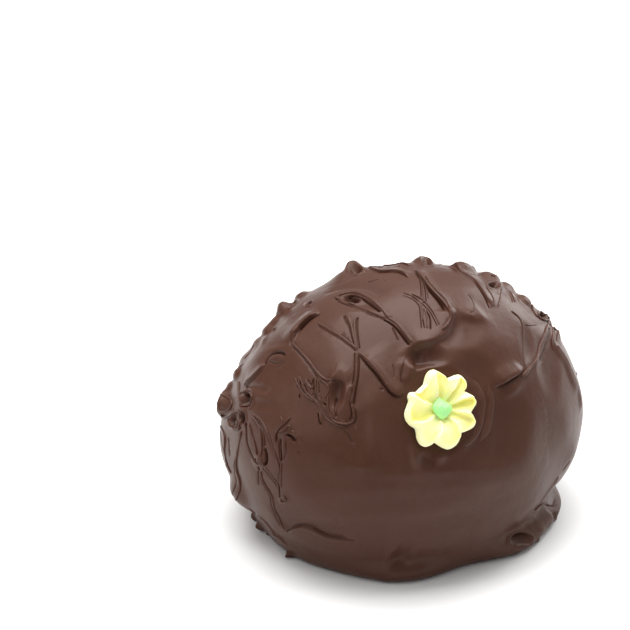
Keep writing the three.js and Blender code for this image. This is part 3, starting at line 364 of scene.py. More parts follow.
# %% Draw the marks of the left end and of the middle
THREADS += [
    # the long loop below the crossing, and the pocket that it goes round
    ([(-12.9, 4.6), (-12.5, 2.4), (-12.2, .8), (-12.8, -.5), (-14.4, -1.1), (-16, -.9), (-17.8, -.2),
      (-18.8, 1.8), (-19.2, 4.2), (-19.2, 6.6)], (.45, .4), .55),
    ([(-22.7, 5.6), (-21.6, 4), (-20.8, 2.2), (-19.6, .4), (-18, -.7), (-16, -1.7),
      (-14.4, -1.8)], .38, .4),
    # the string from the flap down to the scribble
    ([(-28.6, 20.4), (-27.4, 19.2), (-25.6, 17.3), (-24, 15.4), (-22.6, 13.4), (-21, 11.6),
      (-19.4, 10.6), (-17.6, 10.6)], (.35, .5), .45),
    # scribble
    ([(-28, 11.2), (-27.2, 9.2), (-26.2, 7.6), (-24.6, 6), (-22.8, 4.8)], .3, .36),
    ([(-26.9, 11.8), (-25.9, 9.4), (-24.9, 7.4), (-23.2, 5.6), (-21.4, 3.8)], .32, .4),
    ([(-25.2, 11), (-24.4, 9.2), (-23.4, 8.4), (-22.6, 9.6), (-22.7, 11.8)], .3, .4),
    ([(-22.3, 11.6), (-22.4, 8.4), (-21.8, 6), (-20.6, 4.6)], .3, .38),
    ([(-21.4, 10.6), (-20, 9.8), (-19, 8.8), (-19.1, 7.2), (-20, 5.6)], .3, .38),
    ([(-20.6, 4.2), (-19, 2), (-17.6, .2)], .32, .35),
    # lens and rings at the outline
    ([(-43.1, 10.4), (-43.2, 8), (-43, 6), (-42.6, 4), (-42.1, 2.4)], .42, .5),
    ([(-42.8, 7.2), (-41.4, 7.6), (-39.8, 7.2), (-39, 6.2), (-39.5, 4.8), (-40.8, 3.9),
      (-42.2, 3.4)], .4, .55),
    ([(-47.6, 1.4), (-46.6, .6), (-45.4, 1.4), (-43.8, 2.2), (-42, 2.6)], .4, .5),
    ([(-45.4, .9), (-45.6, -.6), (-44.9, -2), (-43.8, -2.5), (-42.8, -2.2), (-42.5, -.8),
      (-42.5, 1)], .4, .65),
    ([(-46.2, 6.6), (-45.2, 5.6), (-45.1, 4), (-45.8, 2.6), (-47, 2)], .4, .45),
    # strings down the side
    ([(-47.2, -1.6), (-46.4, -4.4), (-46.3, -8), (-45.8, -11.4), (-44.8, -14.4)], .5, .4),
    ([(-42.2, -2.8), (-42.7, -5), (-43.4, -8), (-44, -10.8), (-43.9, -13.4), (-43, -16), (-42.3, -18.6),
      (-42.1, -20.6)], .42, .5),
    ([(-40.2, -.6), (-39.4, -3.8), (-38.6, -6.6), (-38.1, -9.4)], .42, .5),
    ([(-39.2, 1.2), (-37.6, -1.2), (-36.8, -4), (-36.7, -7), (-37, -9.8)], .45, .5),
    ([(-38.8, 1.6), (-36.6, -.4), (-35, -3.5), (-33.6, -7.6), (-32.3, -11.6), (-31.9, -14)], .45, .35),
    ([(-38.3, -10), (-38.4, -11.2), (-37.5, -11.9), (-36.6, -11.4), (-36.7, -10.2),
      (-37.5, -9.8)], .32, .45),
    ([(-36.3, -12.2), (-34.8, -14.1), (-33.2, -16), (-32.3, -17.6)], .3, .3),
    ([(-37.2, -13.6), (-37, -15.4), (-36, -17.4), (-34.9, -19.2), (-34.1, -21), (-33.6, -23.4),
      (-32.2, -26.4), (-30.8, -29)], .34, .36),
    ([(-38.1, -13.4), (-37.9, -17.6)], .26, .28),
    # tuft
    ([(-32.8, -6.2), (-32.8, -4), (-31.9, -2.6), (-30.6, -1.4), (-29.5, -.4), (-28.9, .8)], .42, .6),
    ([(-31.8, -3.4), (-30.2, -2.8), (-29, -1.6), (-28.4, -2.6)], .4, .6),
    ([(-30.9, -1.8), (-30.9, -.2), (-31.6, .9)], .32, .4),
    ([(-32.1, -5.6), (-32, -8.6), (-31.8, -11.2)], .36, .45),
    ([(-31.4, -11.4), (-31.6, -15), (-31.6, -18)], .3, .35),
    ([(-28.4, -2.6), (-27.4, -4.2), (-27.2, -6)], .35, .35),
    ([(-31.7, -20.6), (-31.3, -21.7), (-30.4, -21.6), (-30.1, -20.8), (-30.8, -20.2),
      (-31.5, -20.4)], .3, .5),
]
FLAPS += [
    ([(-42, 9), (-40, 10), (-38.6, 11.2), (-37, 12.9), (-35.2, 15.5)], .55, 2.2, .3, .3),
    ([(-28.4, 20.4), (-27.5, 22.8), (-26.4, 24.5), (-25, 26.1), (-23.2, 27.5),
      (-21, 28.6)], .85, 2.6, .45, .35),
    ([(-29, -3.6), (-27.8, -4), (-26.9, -5.4), (-26.8, -7)], .4, 1.4, .1, .35),
    ([(-19.4, 10.3), (-17.8, 10.9), (-15.8, 10.5), (-14.2, 9.2)], .7, 3, .35, .4),
    ([(-13.4, 9.2), (-12.9, 6), (-12.8, 2)], -.35, 2.5, 0, .5),
]
CREASES += [
    ([(-26.9, 23.7), (-26, 24.7), (-24.8, 25.9), (-23.4, 27), (-21.4, 28)], (.85, .25), 1.15),
    ([(-27, 23.4), (-28, 22.2), (-28.8, 20.8), (-29, 19.6)], .28, .4),
    ([(-28.4, 19.2), (-26.4, 17.2), (-24.7, 15.2), (-23.2, 13), (-22.1, 11.2)], .32, .45),
    ([(-35.3, 15.3), (-36.6, 13.7), (-38, 12), (-39.6, 10.6), (-41.4, 9.5)], .36, .6),
    ([(-36, 14.6), (-35, 16.2), (-33.8, 17.4), (-32.4, 17.9), (-31.2, 17.7), (-30.5, 17)], (.35, .8), .8),
    ([(-34.6, 15.4), (-33, 15.1), (-31.4, 15.3), (-30.6, 15.6)], .35, .35),
    ([(-33.2, 14), (-31.4, 14.4)], .3, .2),
    ([(-38.8, 19.8), (-40, 18.1), (-41.3, 16.2)], .45, .9),
    ([(-43.3, 12.9), (-42.5, 14), (-41.8, 14.9)], (.75, .3), 1.6),
    ([(-42.5, 6.6), (-42.6, 5.2), (-42.4, 4.2)], .3, .9),
    ([(-41.3, 6.8), (-40.4, 6.3), (-40.2, 5.2), (-40.8, 4.5)], .42, 1.2),
    ([(-40.9, -.6), (-40.9, -3), (-40.8, -5.6), (-40.3, -7.8), (-39.5, -9.6), (-38.7, -11.2)], (.5, .28),
      1.1),
    ([(-36.1, -7.4), (-35.6, -9.2), (-35.6, -11), (-36.3, -12.2)], .7, 1.25),
    ([(-42.6, -3.4), (-43, -6), (-43.9, -9), (-44.5, -11.6), (-44.2, -14.4), (-43.3, -17),
      (-42.8, -20)], .3, .55),
    ([(-45.7, -4.6), (-45.6, -7), (-45.4, -9.6)], .35, .5),
    ([(-47.6, -3), (-47.1, -7), (-46.3, -11), (-45.2, -14.4)], .3, .4),
    ([(-37.9, -12.3), (-37.6, -13.5)], .36, .8), ([(-37.4, -10.8), (-37.3, -11)], .3, .6),
    ([(-37.4, -14.8), (-36.6, -17), (-35.5, -18.9), (-34.7, -20.6), (-34.3, -22.8), (-33, -25.8),
      (-31.8, -28)], .26, .45),
    ([(-36.6, -12.8), (-35.2, -14.4), (-33.6, -16.3), (-32.7, -17.6)], .22, .35),
    ([(-32.3, -16.8), (-32.1, -18.6), (-32, -20.7)], (.28, .42), .8),
    ([(-32, -11.4), (-32, -14), (-32.2, -16.4)], .2, .28),
    ([(-31.5, -5), (-31.4, -8), (-31.4, -11)], (.4, .34), .8),
    ([(-30, -5.4), (-30, -8), (-30.8, -10.4)], .3, .3),
    ([(-29.9, -3.9), (-28.6, -4.5), (-27.7, -5.8)], (.5, .7), 1.0),
    ([(-38.6, .4), (-37, -1.6), (-36, -4.4), (-35.9, -7)], .3, .45),
    ([(-37.8, .4), (-35.8, -2.2), (-34.3, -6), (-33, -10)], .28, .3),
    ([(-39.7, -2), (-39, -5), (-38.4, -8)], .25, .35), ([(-38.3, -14), (-38.3, -17)], .2, .25),
    ([(-27.6, 10.5), (-27.3, 8.5)], .26, .5), ([(-26.7, 10.8), (-26.5, 8.6), (-25.5, 7)], .25, .5),
    ([(-25.6, 9.4), (-24.5, 6.8)], .25, .45),
    ([(-24.6, 10.6), (-23.7, 9.3), (-23.2, 10.8)], .24, .5), ([(-23.2, 7), (-22.1, 4.8)], .24, .4),
    ([(-22.9, 11.4), (-23, 8), (-22.3, 6), (-21.2, 5.2)], .22, .45),
    ([(-21.8, 10.2), (-21.5, 7)], .25, .4), ([(-26.8, 7), (-26.9, 5.6)], (.4, .25), .6),
    ([(-20.4, 4.4), (-19.8, 4)], .45, .6),
    ([(-21.8, 1.9), (-21.5, 0), (-20.9, -1.5)], (.28, .42), .7),
    ([(-17.3, 6), (-17.3, 3), (-16.9, .6)], .5, .5),
    ([(-13.5, 4.8), (-13, 3), (-12.9, 1.2), (-13.5, -.1)], .24, .45),
    ([(-11.9, 3), (-11.7, .4), (-12.4, -1.2)], .24, .35),
    ([(-14.6, -2.6), (-13.6, -4.4), (-12.4, -6.4)], .6, .35), ([(-27, -8.6), (-26.4, -8.2)], .3, .35),
    ([(-5.4, 8.4), (-4.4, 7.8)], .5, .3),
]
LUMPS += [
    # peaks of the left skyline with their pits
    (-26.2, 32.6, 1.6, 1.2, 20, 1.2), (-32, 30.2, 1.6, 1.2, 20, 2.4), (-28.4, 30.6, .9, .4, 40, -1.2),
    (-24.2, 31, .5, .5, 0, -1.3), (-31.4, 28.4, .6, .5, 0, -.5), (-35.5, 24, 1.3, 1.2, 20, 1.2),
    (-34.2, 26.8, 1.2, 1.2, 20, 1.0), (-33.8, 24.2, .5, .4, 0, -.6), (-36.4, 21.4, .6, 1.2, -20, .4),
    (-33, 16.5, 1.7, .6, 5, .4), (-33, 18.8, 2.2, .6, 5, .3), (-43.4, 12.2, .9, 1.4, -20, 1.1),
    (-41.8, 16.2, .8, 2.0, -30, .9), (-38.4, 20.8, 1.0, 1.6, -35, .8), (-45.8, 8.6, .9, 1.6, -35, 1.2),
    (-47.3, -7, 1.2, 5.5, 4, .8), (-29, 23, 1.6, 2.6, 0, .5), (-47.3, 4.3, 2.0, 2.1, 0, 3.0),
    (-46.5, 4.2, .9, 1.4, 0, -2.0), (-46.4, 4.1, .35, .7, 0, 1.1), (-40.6, 5.5, 1.0, 1.3, 0, -1.6),
    (-41.8, 5.6, .4, .9, 0, 1.1), (-44.4, -.1, .75, 1.0, 0, -2.5), (-43.9, -.4, .28, .5, 0, 1.1),
    (-41.9, .7, .6, 1.0, 8, -2.3), (-42, 2.7, .9, .7, 0, .7), (-16.6, 7.6, 1.1, 2.6, -8, -1.3),
    (-15.1, 2.6, 1.3, 2.2, -12, .45), (-14.2, 7.2, .8, 1.2, 20, .45), (-12.9, 8.7, .35, .6, -20, .3),
    (-17.6, 9.8, 1.4, .5, 10, .3), (-15.2, -.9, .5, .4, 0, .3), (-37.4, -10.8, 1.1, .9, 0, .7),
    (-30.8, -21, .8, .8, 0, .5), (-30, -2, 1.8, 1.6, 20, .7), (-30.6, -6.8, .5, 1.3, -8, .45),
    (-21.2, .4, .45, 1.1, 10, .35), (-10.2, 4, 2.4, 1.6, 40, .3), (-23, 7.4, 2.4, 2.4, 0, .25),
    (-43.6, -20.4, 2.6, 3.2, 0, 2.0), (-31, -7, 4.5, 7, 10, .4), (-25, -4, 5, 4, 0, .2),
    (-37, 4, 3.4, 1.0, -8, -.25), (-34.5, 8, 3, 2.4, 0, .3), (-10.4, -12.2, 2.2, 1.1, 0, .25),
]
count_marks()

# %% [markdown]
# ## The marks of the right end and of the foot
# On the right two ropes run into a knot on the outline, with the coating drawn tight between
# them, which is why the swellings are here. Below, the coating ran down, pooled and set in lobes,
# and it folded over on the right. Its slow waves are lumps that are wide and only a little high.

# %% Draw the marks of the right end and of the foot
THREADS += [
    ([(29.4, 29), (31.4, 27.3), (32.5, 25.4), (33.1, 23), (33.2, 20), (33, 16.6), (32.9, 13.9)], .36, .3),
    ([(39.4, 25.8), (38.6, 24.4), (38, 22.4), (37.3, 19.6), (36.7, 17.2), (35.8, 15.4), (34.4, 13.9),
      (33.2, 12.6), (31.8, 11)], (.45, .8), .6),
    ([(39.4, 25.7), (40.1, 24), (40.2, 22), (40.4, 20.2), (40.9, 18.4)], (.4, .6), .4),
    ([(41.2, 25), (41.7, 23), (41.6, 20.8)], .45, .5),
    ([(34.8, 30.4), (35.6, 29), (36.5, 27.6), (37.8, 26.5), (39.2, 26.2)], (.3, .45), .5),
    ([(36.5, 27.8), (37.1, 28.5), (38.4, 28.5), (39.1, 27.6), (39.3, 26.4)], .4, .55),
    ([(33.3, 25.4), (34.8, 25.2), (36.4, 25.4)], .35, .2),
    ([(23.6, 9.4), (24.6, 4), (24, -1), (21.6, -6)], 1.6, .16),
    ([(19.8, 10.8), (21.6, 7.6), (22.4, 3.6), (21.8, -1), (19.8, -4.8), (16.4, -7)], 1.1, .2),
    # the lips of the pit in the foot
    ([(30.2, -33.3), (32.2, -33.6), (34.4, -33.2), (35.4, -32.4)], .45, .5),
]
SWELLINGS += [
    ([(-41.2, 8.7), (-39, 8.9), (-36.6, 8.4), (-34.2, 7.4)], (.8, 1.2), -.4),
    # the folded edge of the foot
    ([(42.6, -14.6), (41.4, -16.8), (39.8, -18.9), (38, -21.3), (36, -23.7), (34, -25.8),
      (32.4, -27.6)], (.7, 1.1), .35),
    # the coating drawn up under the ropes, and the bright rim
    ([(41, 20), (43.4, 17), (45, 13.8), (46.4, 10.4), (47.4, 6.6), (47.9, 2)], (.6, 1.5), .5),
    ([(39.3, 25.4), (38, 22), (36.9, 17.8), (35, 14.6), (32, 11.4), (29, 8.2), (26.5, 6)], (1.0, 2.4),
      .4),
    ([(39.8, 25), (40.4, 21.4), (41.6, 18.6), (43.6, 15.8), (45.6, 11), (47, 7)], (.9, 1.6), .5),
    ([(39, 26), (36, 26.6), (33.4, 28.8), (31, 32), (29, 34.6)], (.9, 1.8), .2),
]
FLAPS += [
    ([(25.2, 8.9), (27.4, 9.9), (29.4, 11.1), (31.4, 12.5), (32.8, 13.9)], .65, 2.4, .3, .35),
    ([(-29.6, -34.2), (-31.6, -31.8), (-33.4, -30.4), (-35, -28), (-38, -25.3),
      (-42.3, -22.8)], .3, 3.5, .3, .35),
    ([(-30.4, -29.8), (-28, -28.7), (-26.2, -28.5), (-24, -29), (-22, -30), (-20, -31), (-17.6, -31.6),
      (-13, -32)], -.5, 6, 0, .3),
    ([(41.6, -17.6), (39, -20.6), (36.6, -23.6), (34, -26.4), (32.6, -27.8)], .35, 5, 0, 1.4),
]
CREASES += [
    ([(25.4, 8.6), (27.4, 9.4), (29.4, 10.6), (31.2, 11.8)], (.6, .35), .3),
    ([(39.3, 24.2), (39.4, 21.6), (38.8, 18.6), (37.6, 15.6)], (.5, 1.4), .4),
    ([(41, 23.6), (41, 21), (41.4, 19.6)], .3, .5),
    ([(-30, -29.6), (-27.8, -28.5), (-26, -28.3), (-23, -29.2), (-20, -30.7), (-17.4, -31.5),
      (-12, -32)], (.3, .35), .4),
    ([(30, -32.2), (31.4, -31.3), (33.4, -30.8), (35.4, -31.2)], (.5, .4), .5),
    ([(44.8, -10.6), (43.2, -13.6)], .4, .3),
]
LUMPS += [
    # knot, cup and bumps on the right outline
    (37.7, 27.5, .75, .6, 0, -1.7), (38, 27.8, 1.8, .9, -10, .8), (40.4, 26.4, 1.0, 1.1, 0, .8),
    (42, 22.7, .8, 1.5, -6, .8), (28.6, 9.2, 2.4, 1.0, 35, -.3), (27.6, 12.4, 2.4, 1.4, 35, .5),
    (30.2, 8.4, 1.4, 1.2, 45, .3), (35.4, 20, 2.0, 4, 10, -.2), (39.6, 15, 2.0, 5, 4, -.4),
    (34, 19, 1.2, 4, 4, -.3),
    # foot: pit, folded lobe, bump and slow waves of the lower side
    (32.2, -31.9, 1.5, .62, 16, -2.8), (40.6, -23, 1.6, 3.0, 10, .6), (37.5, -28.8, .7, .7, 0, .4),
    (34.6, -27.4, 1.2, 1.6, 40, -.3), (29, -28.8, 1.5, 2.6, 38, -.25), (-2.4, -35, 2.6, 1.2, 62, .7),
    (-.2, -35.6, 1.3, 2.4, -28, -.5), (-4.6, -38.6, 1.4, .7, 50, .35), (2.8, -36.2, .8, 1.5, -12, .5),
    (3.8, -9.4, .7, 2.0, 10, .99), (10.8, -9, .8, 1.2, 5, .8), (7.4, -10, 1.2, 1.6, 0, -.5),
    (-33.4, -28.6, 1.4, .9, -40, .25), (8, -33, 5, 1.4, 8, .35), (22, -33.5, 4, 1.6, 12, .4),
    (14, -22, 9, 1.2, 8, .22), (-14, -28, 8, 1.2, 2, -.2), (44.6, -1, 2.2, 5.0, 0, .6),
    (45.6, -8.6, 1.2, 2.4, -20, .5), (26, -2.5, 5.5, 6, 0, -.9), (24, -14, 7, 4, 20, .35),
    (20, 12, 3.4, 3, 0, -.5), (17.6, 20, 3.4, 2.6, 0, .25), (19, 2, 2.6, 8, 0, -.3),
    (6, -14.4, 9, 1.1, 3, .2), (-8, -19, 11, 1.4, 4, .26), (18, -17.6, 9, 1.2, 8, .22),
    (-4, -25, 13, 1.5, 3, .3), (14, -27, 10, 1.6, 6, -.24), (-14, -14, 4, 5, 0, .2),
    (34, -8, 3, 6, 20, .3), (-2, -2, 2.4, 5, 6, -.35), (-6.4, -4, 1.5, 5.5, 8, .4),
    (-7, 5, 2.4, 2.4, 0, .3), (-11, -2, 2, 5, 0, -.25), (22, -22, 6, 2, 14, -.2), (-20, -20, 5, 3, 0, .2),
    (-16, -35, 6, 1.4, -14, .25),
]
count_marks()

# %% [markdown]
# ## The hidden side
# The other side was dragged by the same fingers, so it has the same kinds of mark. Drawing them
# one by one would take as long again, so a seeded generator does it: sweeps of up to three threads
# side by side that wander and curl, and flaps, lumps and pits between. The seed gives the same
# marks on each run.

# %% Reach the hidden side
BACK_AZIMUTH = math.radians(65)
BACK_TALL = 55.0          # millimetres up the hidden side that make a whole row
CREST_LEAN = 0.45         # how far back, for each millimetre up, the seen part ends
BEHIND = -8.0             # hidden marks keep this far behind the seen part, mm
STRIDE, WOBBLE_RUN = 1.2, 5.2   # length of one step of a sweep, and of a radian of its wobble, mm


def onto_back(marks):
    """Marks as millimetres across and up from the middle of the hidden side, bent onto it."""
    marks = np.asarray(marks, float)
    around = BACK_AZIMUTH - marks[:, 0] / HALF_WIDTH
    return shell(around, np.clip(1 - marks[:, 1] / BACK_TALL, 0.05, 1.85))


def behind(path):
    """How far the nearest point of a path lies behind the outline that the view sees, mm."""
    return float((path @ unit(look * [1, 1, 0.0]) - CREST_LEAN * path[:, 2]).min())


def sweep(start, heading, length, curl, wobble, phase):
    """A path whose heading turns at an even rate plus a slow sine, walked in equal steps."""
    steps = np.arange(0, length, STRIDE)
    turn = heading + curl * steps + wobble * np.sin(steps / WOBBLE_RUN + phase)
    walk = np.stack([np.cos(turn), np.sin(turn)], 1) * STRIDE
    return np.asarray(start) + np.cumsum(walk, 0)


print("middle of the hidden side", np.round(onto_back([(0, 0)]), 1))

# %% Let a seeded hand draw there
BACK_SWEEPS, BACK_FLAPS, BACK_LUMPS = 24, 20, 40
hand = np.random.default_rng(11)
back_threads, back_flaps, back_creases, back_lumps = [], [], [], []
for _ in range(BACK_SWEEPS):
    start = hand.uniform([-44, -6], [44, 36])
    heading, length = hand.uniform(0, 2 * math.pi), hand.uniform(16, 36)
    curl, wobble, phase = hand.uniform(-0.11, 0.11), hand.uniform(0, 0.35), hand.uniform(0, 6)
    for lane in range(hand.integers(1, 4)):
        shift = np.array([-math.sin(heading), math.cos(heading)]) * lane * hand.uniform(1.4, 2.6)
        long = length * hand.uniform(0.7, 1)
        path = sweep(start + shift, heading + 0.04 * lane, long, curl, wobble, phase)
        half = hand.uniform(0.3, 0.5)
        if behind(onto_back(path)) > BEHIND:
            back_threads.append((onto_back(path), half, half * hand.uniform(0.7, 1)))
            back_creases.append((onto_back(path + [0.7, -0.5]), 0.3, 0.35))
for _ in range(BACK_FLAPS):
    start = hand.uniform([-42, -12], [42, 34])
    path = sweep(start, hand.uniform(0, 6.3), hand.uniform(9, 20), hand.uniform(-0.12, 0.12), 0.2, 0)
    if behind(onto_back(path)) > BEHIND:
        back_flaps.append((onto_back(path), hand.uniform(0.6, 1.2), hand.uniform(3.5, 6), 0.3, 0.4))
for index in range(BACK_LUMPS):
    spot = onto_back(hand.uniform([-44, -14], [44, 38], (1, 2)))[0]
    high = -hand.uniform(0.8, 1.6) if index % 3 == 0 else hand.uniform(0.4, 1.4)
    if behind(spot[None]) > BEHIND:
        size = hand.uniform(0.8, 2.4) * (0.5 if high < 0 else 1)   # pits are half as wide
        back_lumps.append((spot, sheet_right * size * 0.65, sheet_up * size * 1.35, high))
print(len(back_threads), "threads,", len(back_flaps), "flaps and", len(back_lumps), "lumps are hidden")

# %% [markdown]
# ## The grid of the egg
# The coating could be a subdivided sphere, but a grid of rows from the top to the table and
# columns around keeps every array plain, and its columns can stand closer on the show side. It is
# much finer than the finished mesh, because a crease is only a fraction of a millimetre wide. A
# Decimate modifier later keeps the triangles where the surface bends.

# %% Lay out the grid
COLUMNS, UPPER_ROWS, LOWER_ROWS = 1500, 430, 160
CROWDING, CROWDED_HALF = 3, math.radians(92)   # extra density of columns, and half of its reach
SHOW_AZIMUTH = math.atan2(-math.cos(TURN), -math.sin(TURN))
spin = np.linspace(-math.pi, math.pi, 4001)
crowd = 1 + CROWDING * np.exp(-((np.abs(spin) / CROWDED_HALF) ** 6))
filled = np.concatenate([[0], np.cumsum((crowd[1:] + crowd[:-1]) / 2)])
columns = SHOW_AZIMUTH + np.interp(np.arange(COLUMNS) / COLUMNS, filled / filled[-1], spin)
upper_rows, lower_rows = np.linspace(0, 1, UPPER_ROWS + 1)[1:], np.linspace(1, 2, LOWER_ROWS + 1)[1:]
rows = np.concatenate([upper_rows, lower_rows])
around, row = np.meshgrid(columns, rows)
base = shell(around, row).reshape(-1, 3)
outward = shell_normal(around, row).reshape(-1, 3)
print("grid", around.shape, "points", len(base))

# %% [markdown]
# ## The foot
# Near the table the coating spreads into a foot with lobes, a few drips and a crumb, and its lower
# edge turns under. A second mesh could lie around the egg, but it would leave a seam. So the foot
# is an outward push for each point of the grid, worked out before the marks, because a mark drawn
# on the foot has to land on the spread coating and not on the bare shell.

# %% Spread the foot
FOOT_HEIGHT, FOOT_REACH, FOOT_EDGE, UNDERCUT = 8.0, 3.2, 1.4, 0.8
FOOT_WAVES = [(0.5, 5, 0.4), (0.3, 11, 2)]   # extra reach, waves around the egg, phase
# Lobes of the foot: direction in degrees, extra reach, half-angle.
FOOT_LOBES = [
    (157, 1.0, 6), (170, -5.4, 11), (196, -1.8, 8), (224, -1.8, 10), (248, 1.6, 9), (272, -0.7, 9),
    (296, 1.4, 9), (312, 1.2, 8), (330, 1.2, 7), (343, -2.0, 7), (20, -1.2, 20), (65, 1.4, 12),
    (110, 1.2, 14),
]
# Waists, where the side draws in above the foot: direction and half-angle in degrees, height and
# half height, depth.
WAISTS = [(324, 13, 9.2, 2.2, 3.8), (350, 11, 13, 5.0, 3.4), (172, 12, 7, 3, 1.6), (120, 20, 12, 4, 0.8)]
DRIP_POWER, DRIP_FOOT = 1.6, 0.4     # how square a drip is, and the height under which it turns under
# Drips and crumbs at the table: across and up on the sheet, extra reach, half width, height.
FOOT_DRIPS = [
    (-30.2, -37, 2.2, 0.9, 1.3), (-36.6, -29.6, 1.8, 1.1, 2.6), (-37.2, -27.4, 1.4, 0.7, 3.2),
    (-36, -31.4, 0.8, 0.6, 1.2), (35.6, -33, 0.7, 0.8, 1.6), (38.6, -27.4, 0.8, 0.9, 1.8),
    (-3.6, -42, 0.4, 1.8, 2.0), (42, -19.6, 0.6, 1.4, 2.4), (31, -36.4, 0.4, 1.4, 1.4),
]


def floor_direction(across, up):
    """Azimuth and distance of the table point behind a mark of the sheet."""
    way = sight((across, up))[0]
    point = eye - way * eye[2] / way[2]
    return math.atan2(point[1], point[0]), math.hypot(point[0], point[1])


def bell_around(azimuth, spread):
    """A bell over the direction of each grid point; its middle and spread are in degrees."""
    gap = (np.degrees(angle) - azimuth + 180) % 360 - 180
    return np.exp(-0.5 * (gap / spread) ** 2)


angle, height = around.ravel(), base[:, 2]
reach = np.full(len(angle), FOOT_REACH)
for high, count, phase in FOOT_WAVES:
    reach += high * np.sin(count * angle + phase)
for azimuth, extra, spread in FOOT_LOBES:
    reach += extra * bell_around(azimuth, spread)
spreading = 1 - ease((height - FOOT_EDGE) / (FOOT_HEIGHT - FOOT_EDGE))
under = np.maximum(0, 1 - height / FOOT_EDGE)
turned_under = FOOT_EDGE * (1 - np.sqrt(np.maximum(0, 1 - under**2))) * UNDERCUT
push = np.maximum(reach, 0) * spreading - turned_under
azimuths = np.arctan2(base[:, 1], base[:, 0])
for across, up, extra, wide, tall in FOOT_DRIPS:
    azimuth, radius = floor_direction(across, up)
    gap = ((azimuths - azimuth + math.pi) % (2 * math.pi) - math.pi) * radius
    drip = np.exp(-((np.abs(gap) / wide) ** DRIP_POWER)) * (1 - ease((height - 0.5 * tall) / tall))
    push += extra * drip * np.where(height < DRIP_FOOT, UNDERCUT, 1)
for azimuth, spread, middle_height, tall, depth in WAISTS:
    push -= depth * bell_around(azimuth, spread) * np.exp(-0.5 * ((height - middle_height) / tall) ** 2)
outwards = unit(base * [1, 1, 0])
print("foot reaches", round(float((np.hypot(base[:, 0], base[:, 1]) + push).max()), 1), "mm")

# %% Carry low marks to the spread foot
FOOT_MARKS = -22.0        # marks drawn lower than this may lie on the foot
FOOT_MARGIN = 6.0         # how much higher the grid points go among which they look
ray = base + outwards * push[:, None] - eye
flat = ray * (DISTANCE / (ray @ look))[:, None] + eye - AIM
on_sheet = np.stack([flat @ sheet_right, flat @ sheet_up - SHEET_LIFT], 1)
seen = (outward * ray).sum(1) < 0
low_points = np.flatnonzero(seen & (on_sheet[:, 1] < FOOT_MARKS + FOOT_MARGIN) & (height > 0.3))


def onto_skin(marks):
    """As onto_shell, but a low mark goes to the grid point that is nearest to it on the sheet
    after the foot has spread."""
    marks = np.asarray(marks, float).reshape(-1, 2)
    found = onto_shell(marks)
    for k in np.flatnonzero(marks[:, 1] < FOOT_MARKS):
        gap = ((on_sheet[low_points] - marks[k]) ** 2).sum(1)
        found[k] = base[low_points[gap.argmin()]]
    return found


print("points on the foot", len(low_points))

# %% [markdown]
# ## How the marks shape the coating
# Real coating has its marks in one skin, with no joint between them. Boolean unions of many small
# solids would give that, but slowly and with ragged edges. Here each mark adds to one height over
# the shell instead. Only the grid points near a mark are looked at, and each of them gets its
# distance to the mark's path. Creases that cross don't add up: the deeper one wins. A flap also
# slides the points at its lip sideways, so that the lip hangs over and casts a real shadow.


# %% Measure distances to a mark
def near(path, reach):
    """For the points within reach of a path: index, distance, share of its length, signed side."""
    centre = path.mean(0)
    radius = np.linalg.norm(path - centre, axis=1).max() + reach
    index = np.flatnonzero(((base - centre) ** 2).sum(1) < radius**2)
    p, along = base[index], path[1:] - path[:-1]
    length = np.maximum((along**2).sum(1), 1e-9)
    best = np.full(len(index), 1e9)
    share, side = np.zeros(len(index)), np.zeros(len(index))
    way = np.zeros((len(index), 3))
    run = np.concatenate([[0], np.cumsum(np.sqrt(length))])
    for k, step in enumerate(along):
        off = p - path[k]
        t = np.clip(off @ step / length[k], 0, 1)
        gap = off - t[:, None] * step
        distance = np.linalg.norm(gap, axis=1)
        closer = distance < best
        best = np.where(closer, distance, best)
        share = np.where(closer, (run[k] + t * math.sqrt(length[k])) / run[-1], share)
        left = np.cross(outward[index], step)
        side = np.where(closer, np.sign((left * gap).sum(1)), side)
        way = np.where(closer[:, None], left, way)
    kept = best < reach
    return index[kept], best[kept], share[kept], side[kept], unit(way[kept]), run[-1]


def widths(half, share):
    """A mark's half width along its run: one number, or an even change from one to another."""
    start, end = np.broadcast_to(half, 2)
    return start + (end - start) * share


def taper(share, run, length, least=0.0):
    """0 at both ends of a run to 1 at a length from them, eased; least lifts the ends a little."""
    return ease(np.minimum(share, 1 - share) * run / length + least)


index, *_, run = near(onto_skin(flowing(THREADS[0][0])), 1.0)
print(len(index), "grid points lie within 1 mm of the first thread, which is", round(run, 1), "mm long")

# %% Write what each kind of mark does
MOAT_AT, MOAT_HALF, MOAT_DEEP = 1.15, 0.4, 0.1   # shares of a thread's half width and height
THREAD_ENDS, BLUNT = 2.4, 0.7                    # half widths to full size, and how blunt the end is
UNDER_THREAD = 0.5                               # mm from the path that count as under it
FLAP_ENDS, RIM_SHARE = 3.0, 0.16                 # mm over which a flap fades at its ends; its rim
RIM_BESIDE, HOLLOW_BESIDE, RIM_HALF = 2.0, 1.6, 1.7   # in half widths of the flap's edge
LIP_AT, LIP_HALF = 0.3, 0.5                      # mm left of the path, where the lip slides
BELL_REACH, LUMP_REACH = 2.4, 3                  # half widths and half axes beyond which a bell is nil
FLAT_TOP, FLAT_POWER, TALL = 1.8, 1.6, 1.0       # a lump of this height or more, mm, is flat on top
PIT_WALL, PIT_POWER, PIT_RIM = 1.9, 1.5, 0.16    # a pit's wall, and its rim as a share of its depth
body = np.zeros(len(base))      # flaps, swellings and lumps
pressed = np.zeros(len(base))   # creases and moats
slide = np.zeros_like(base)
lanes = []                      # threads, to be laid on the finished skin


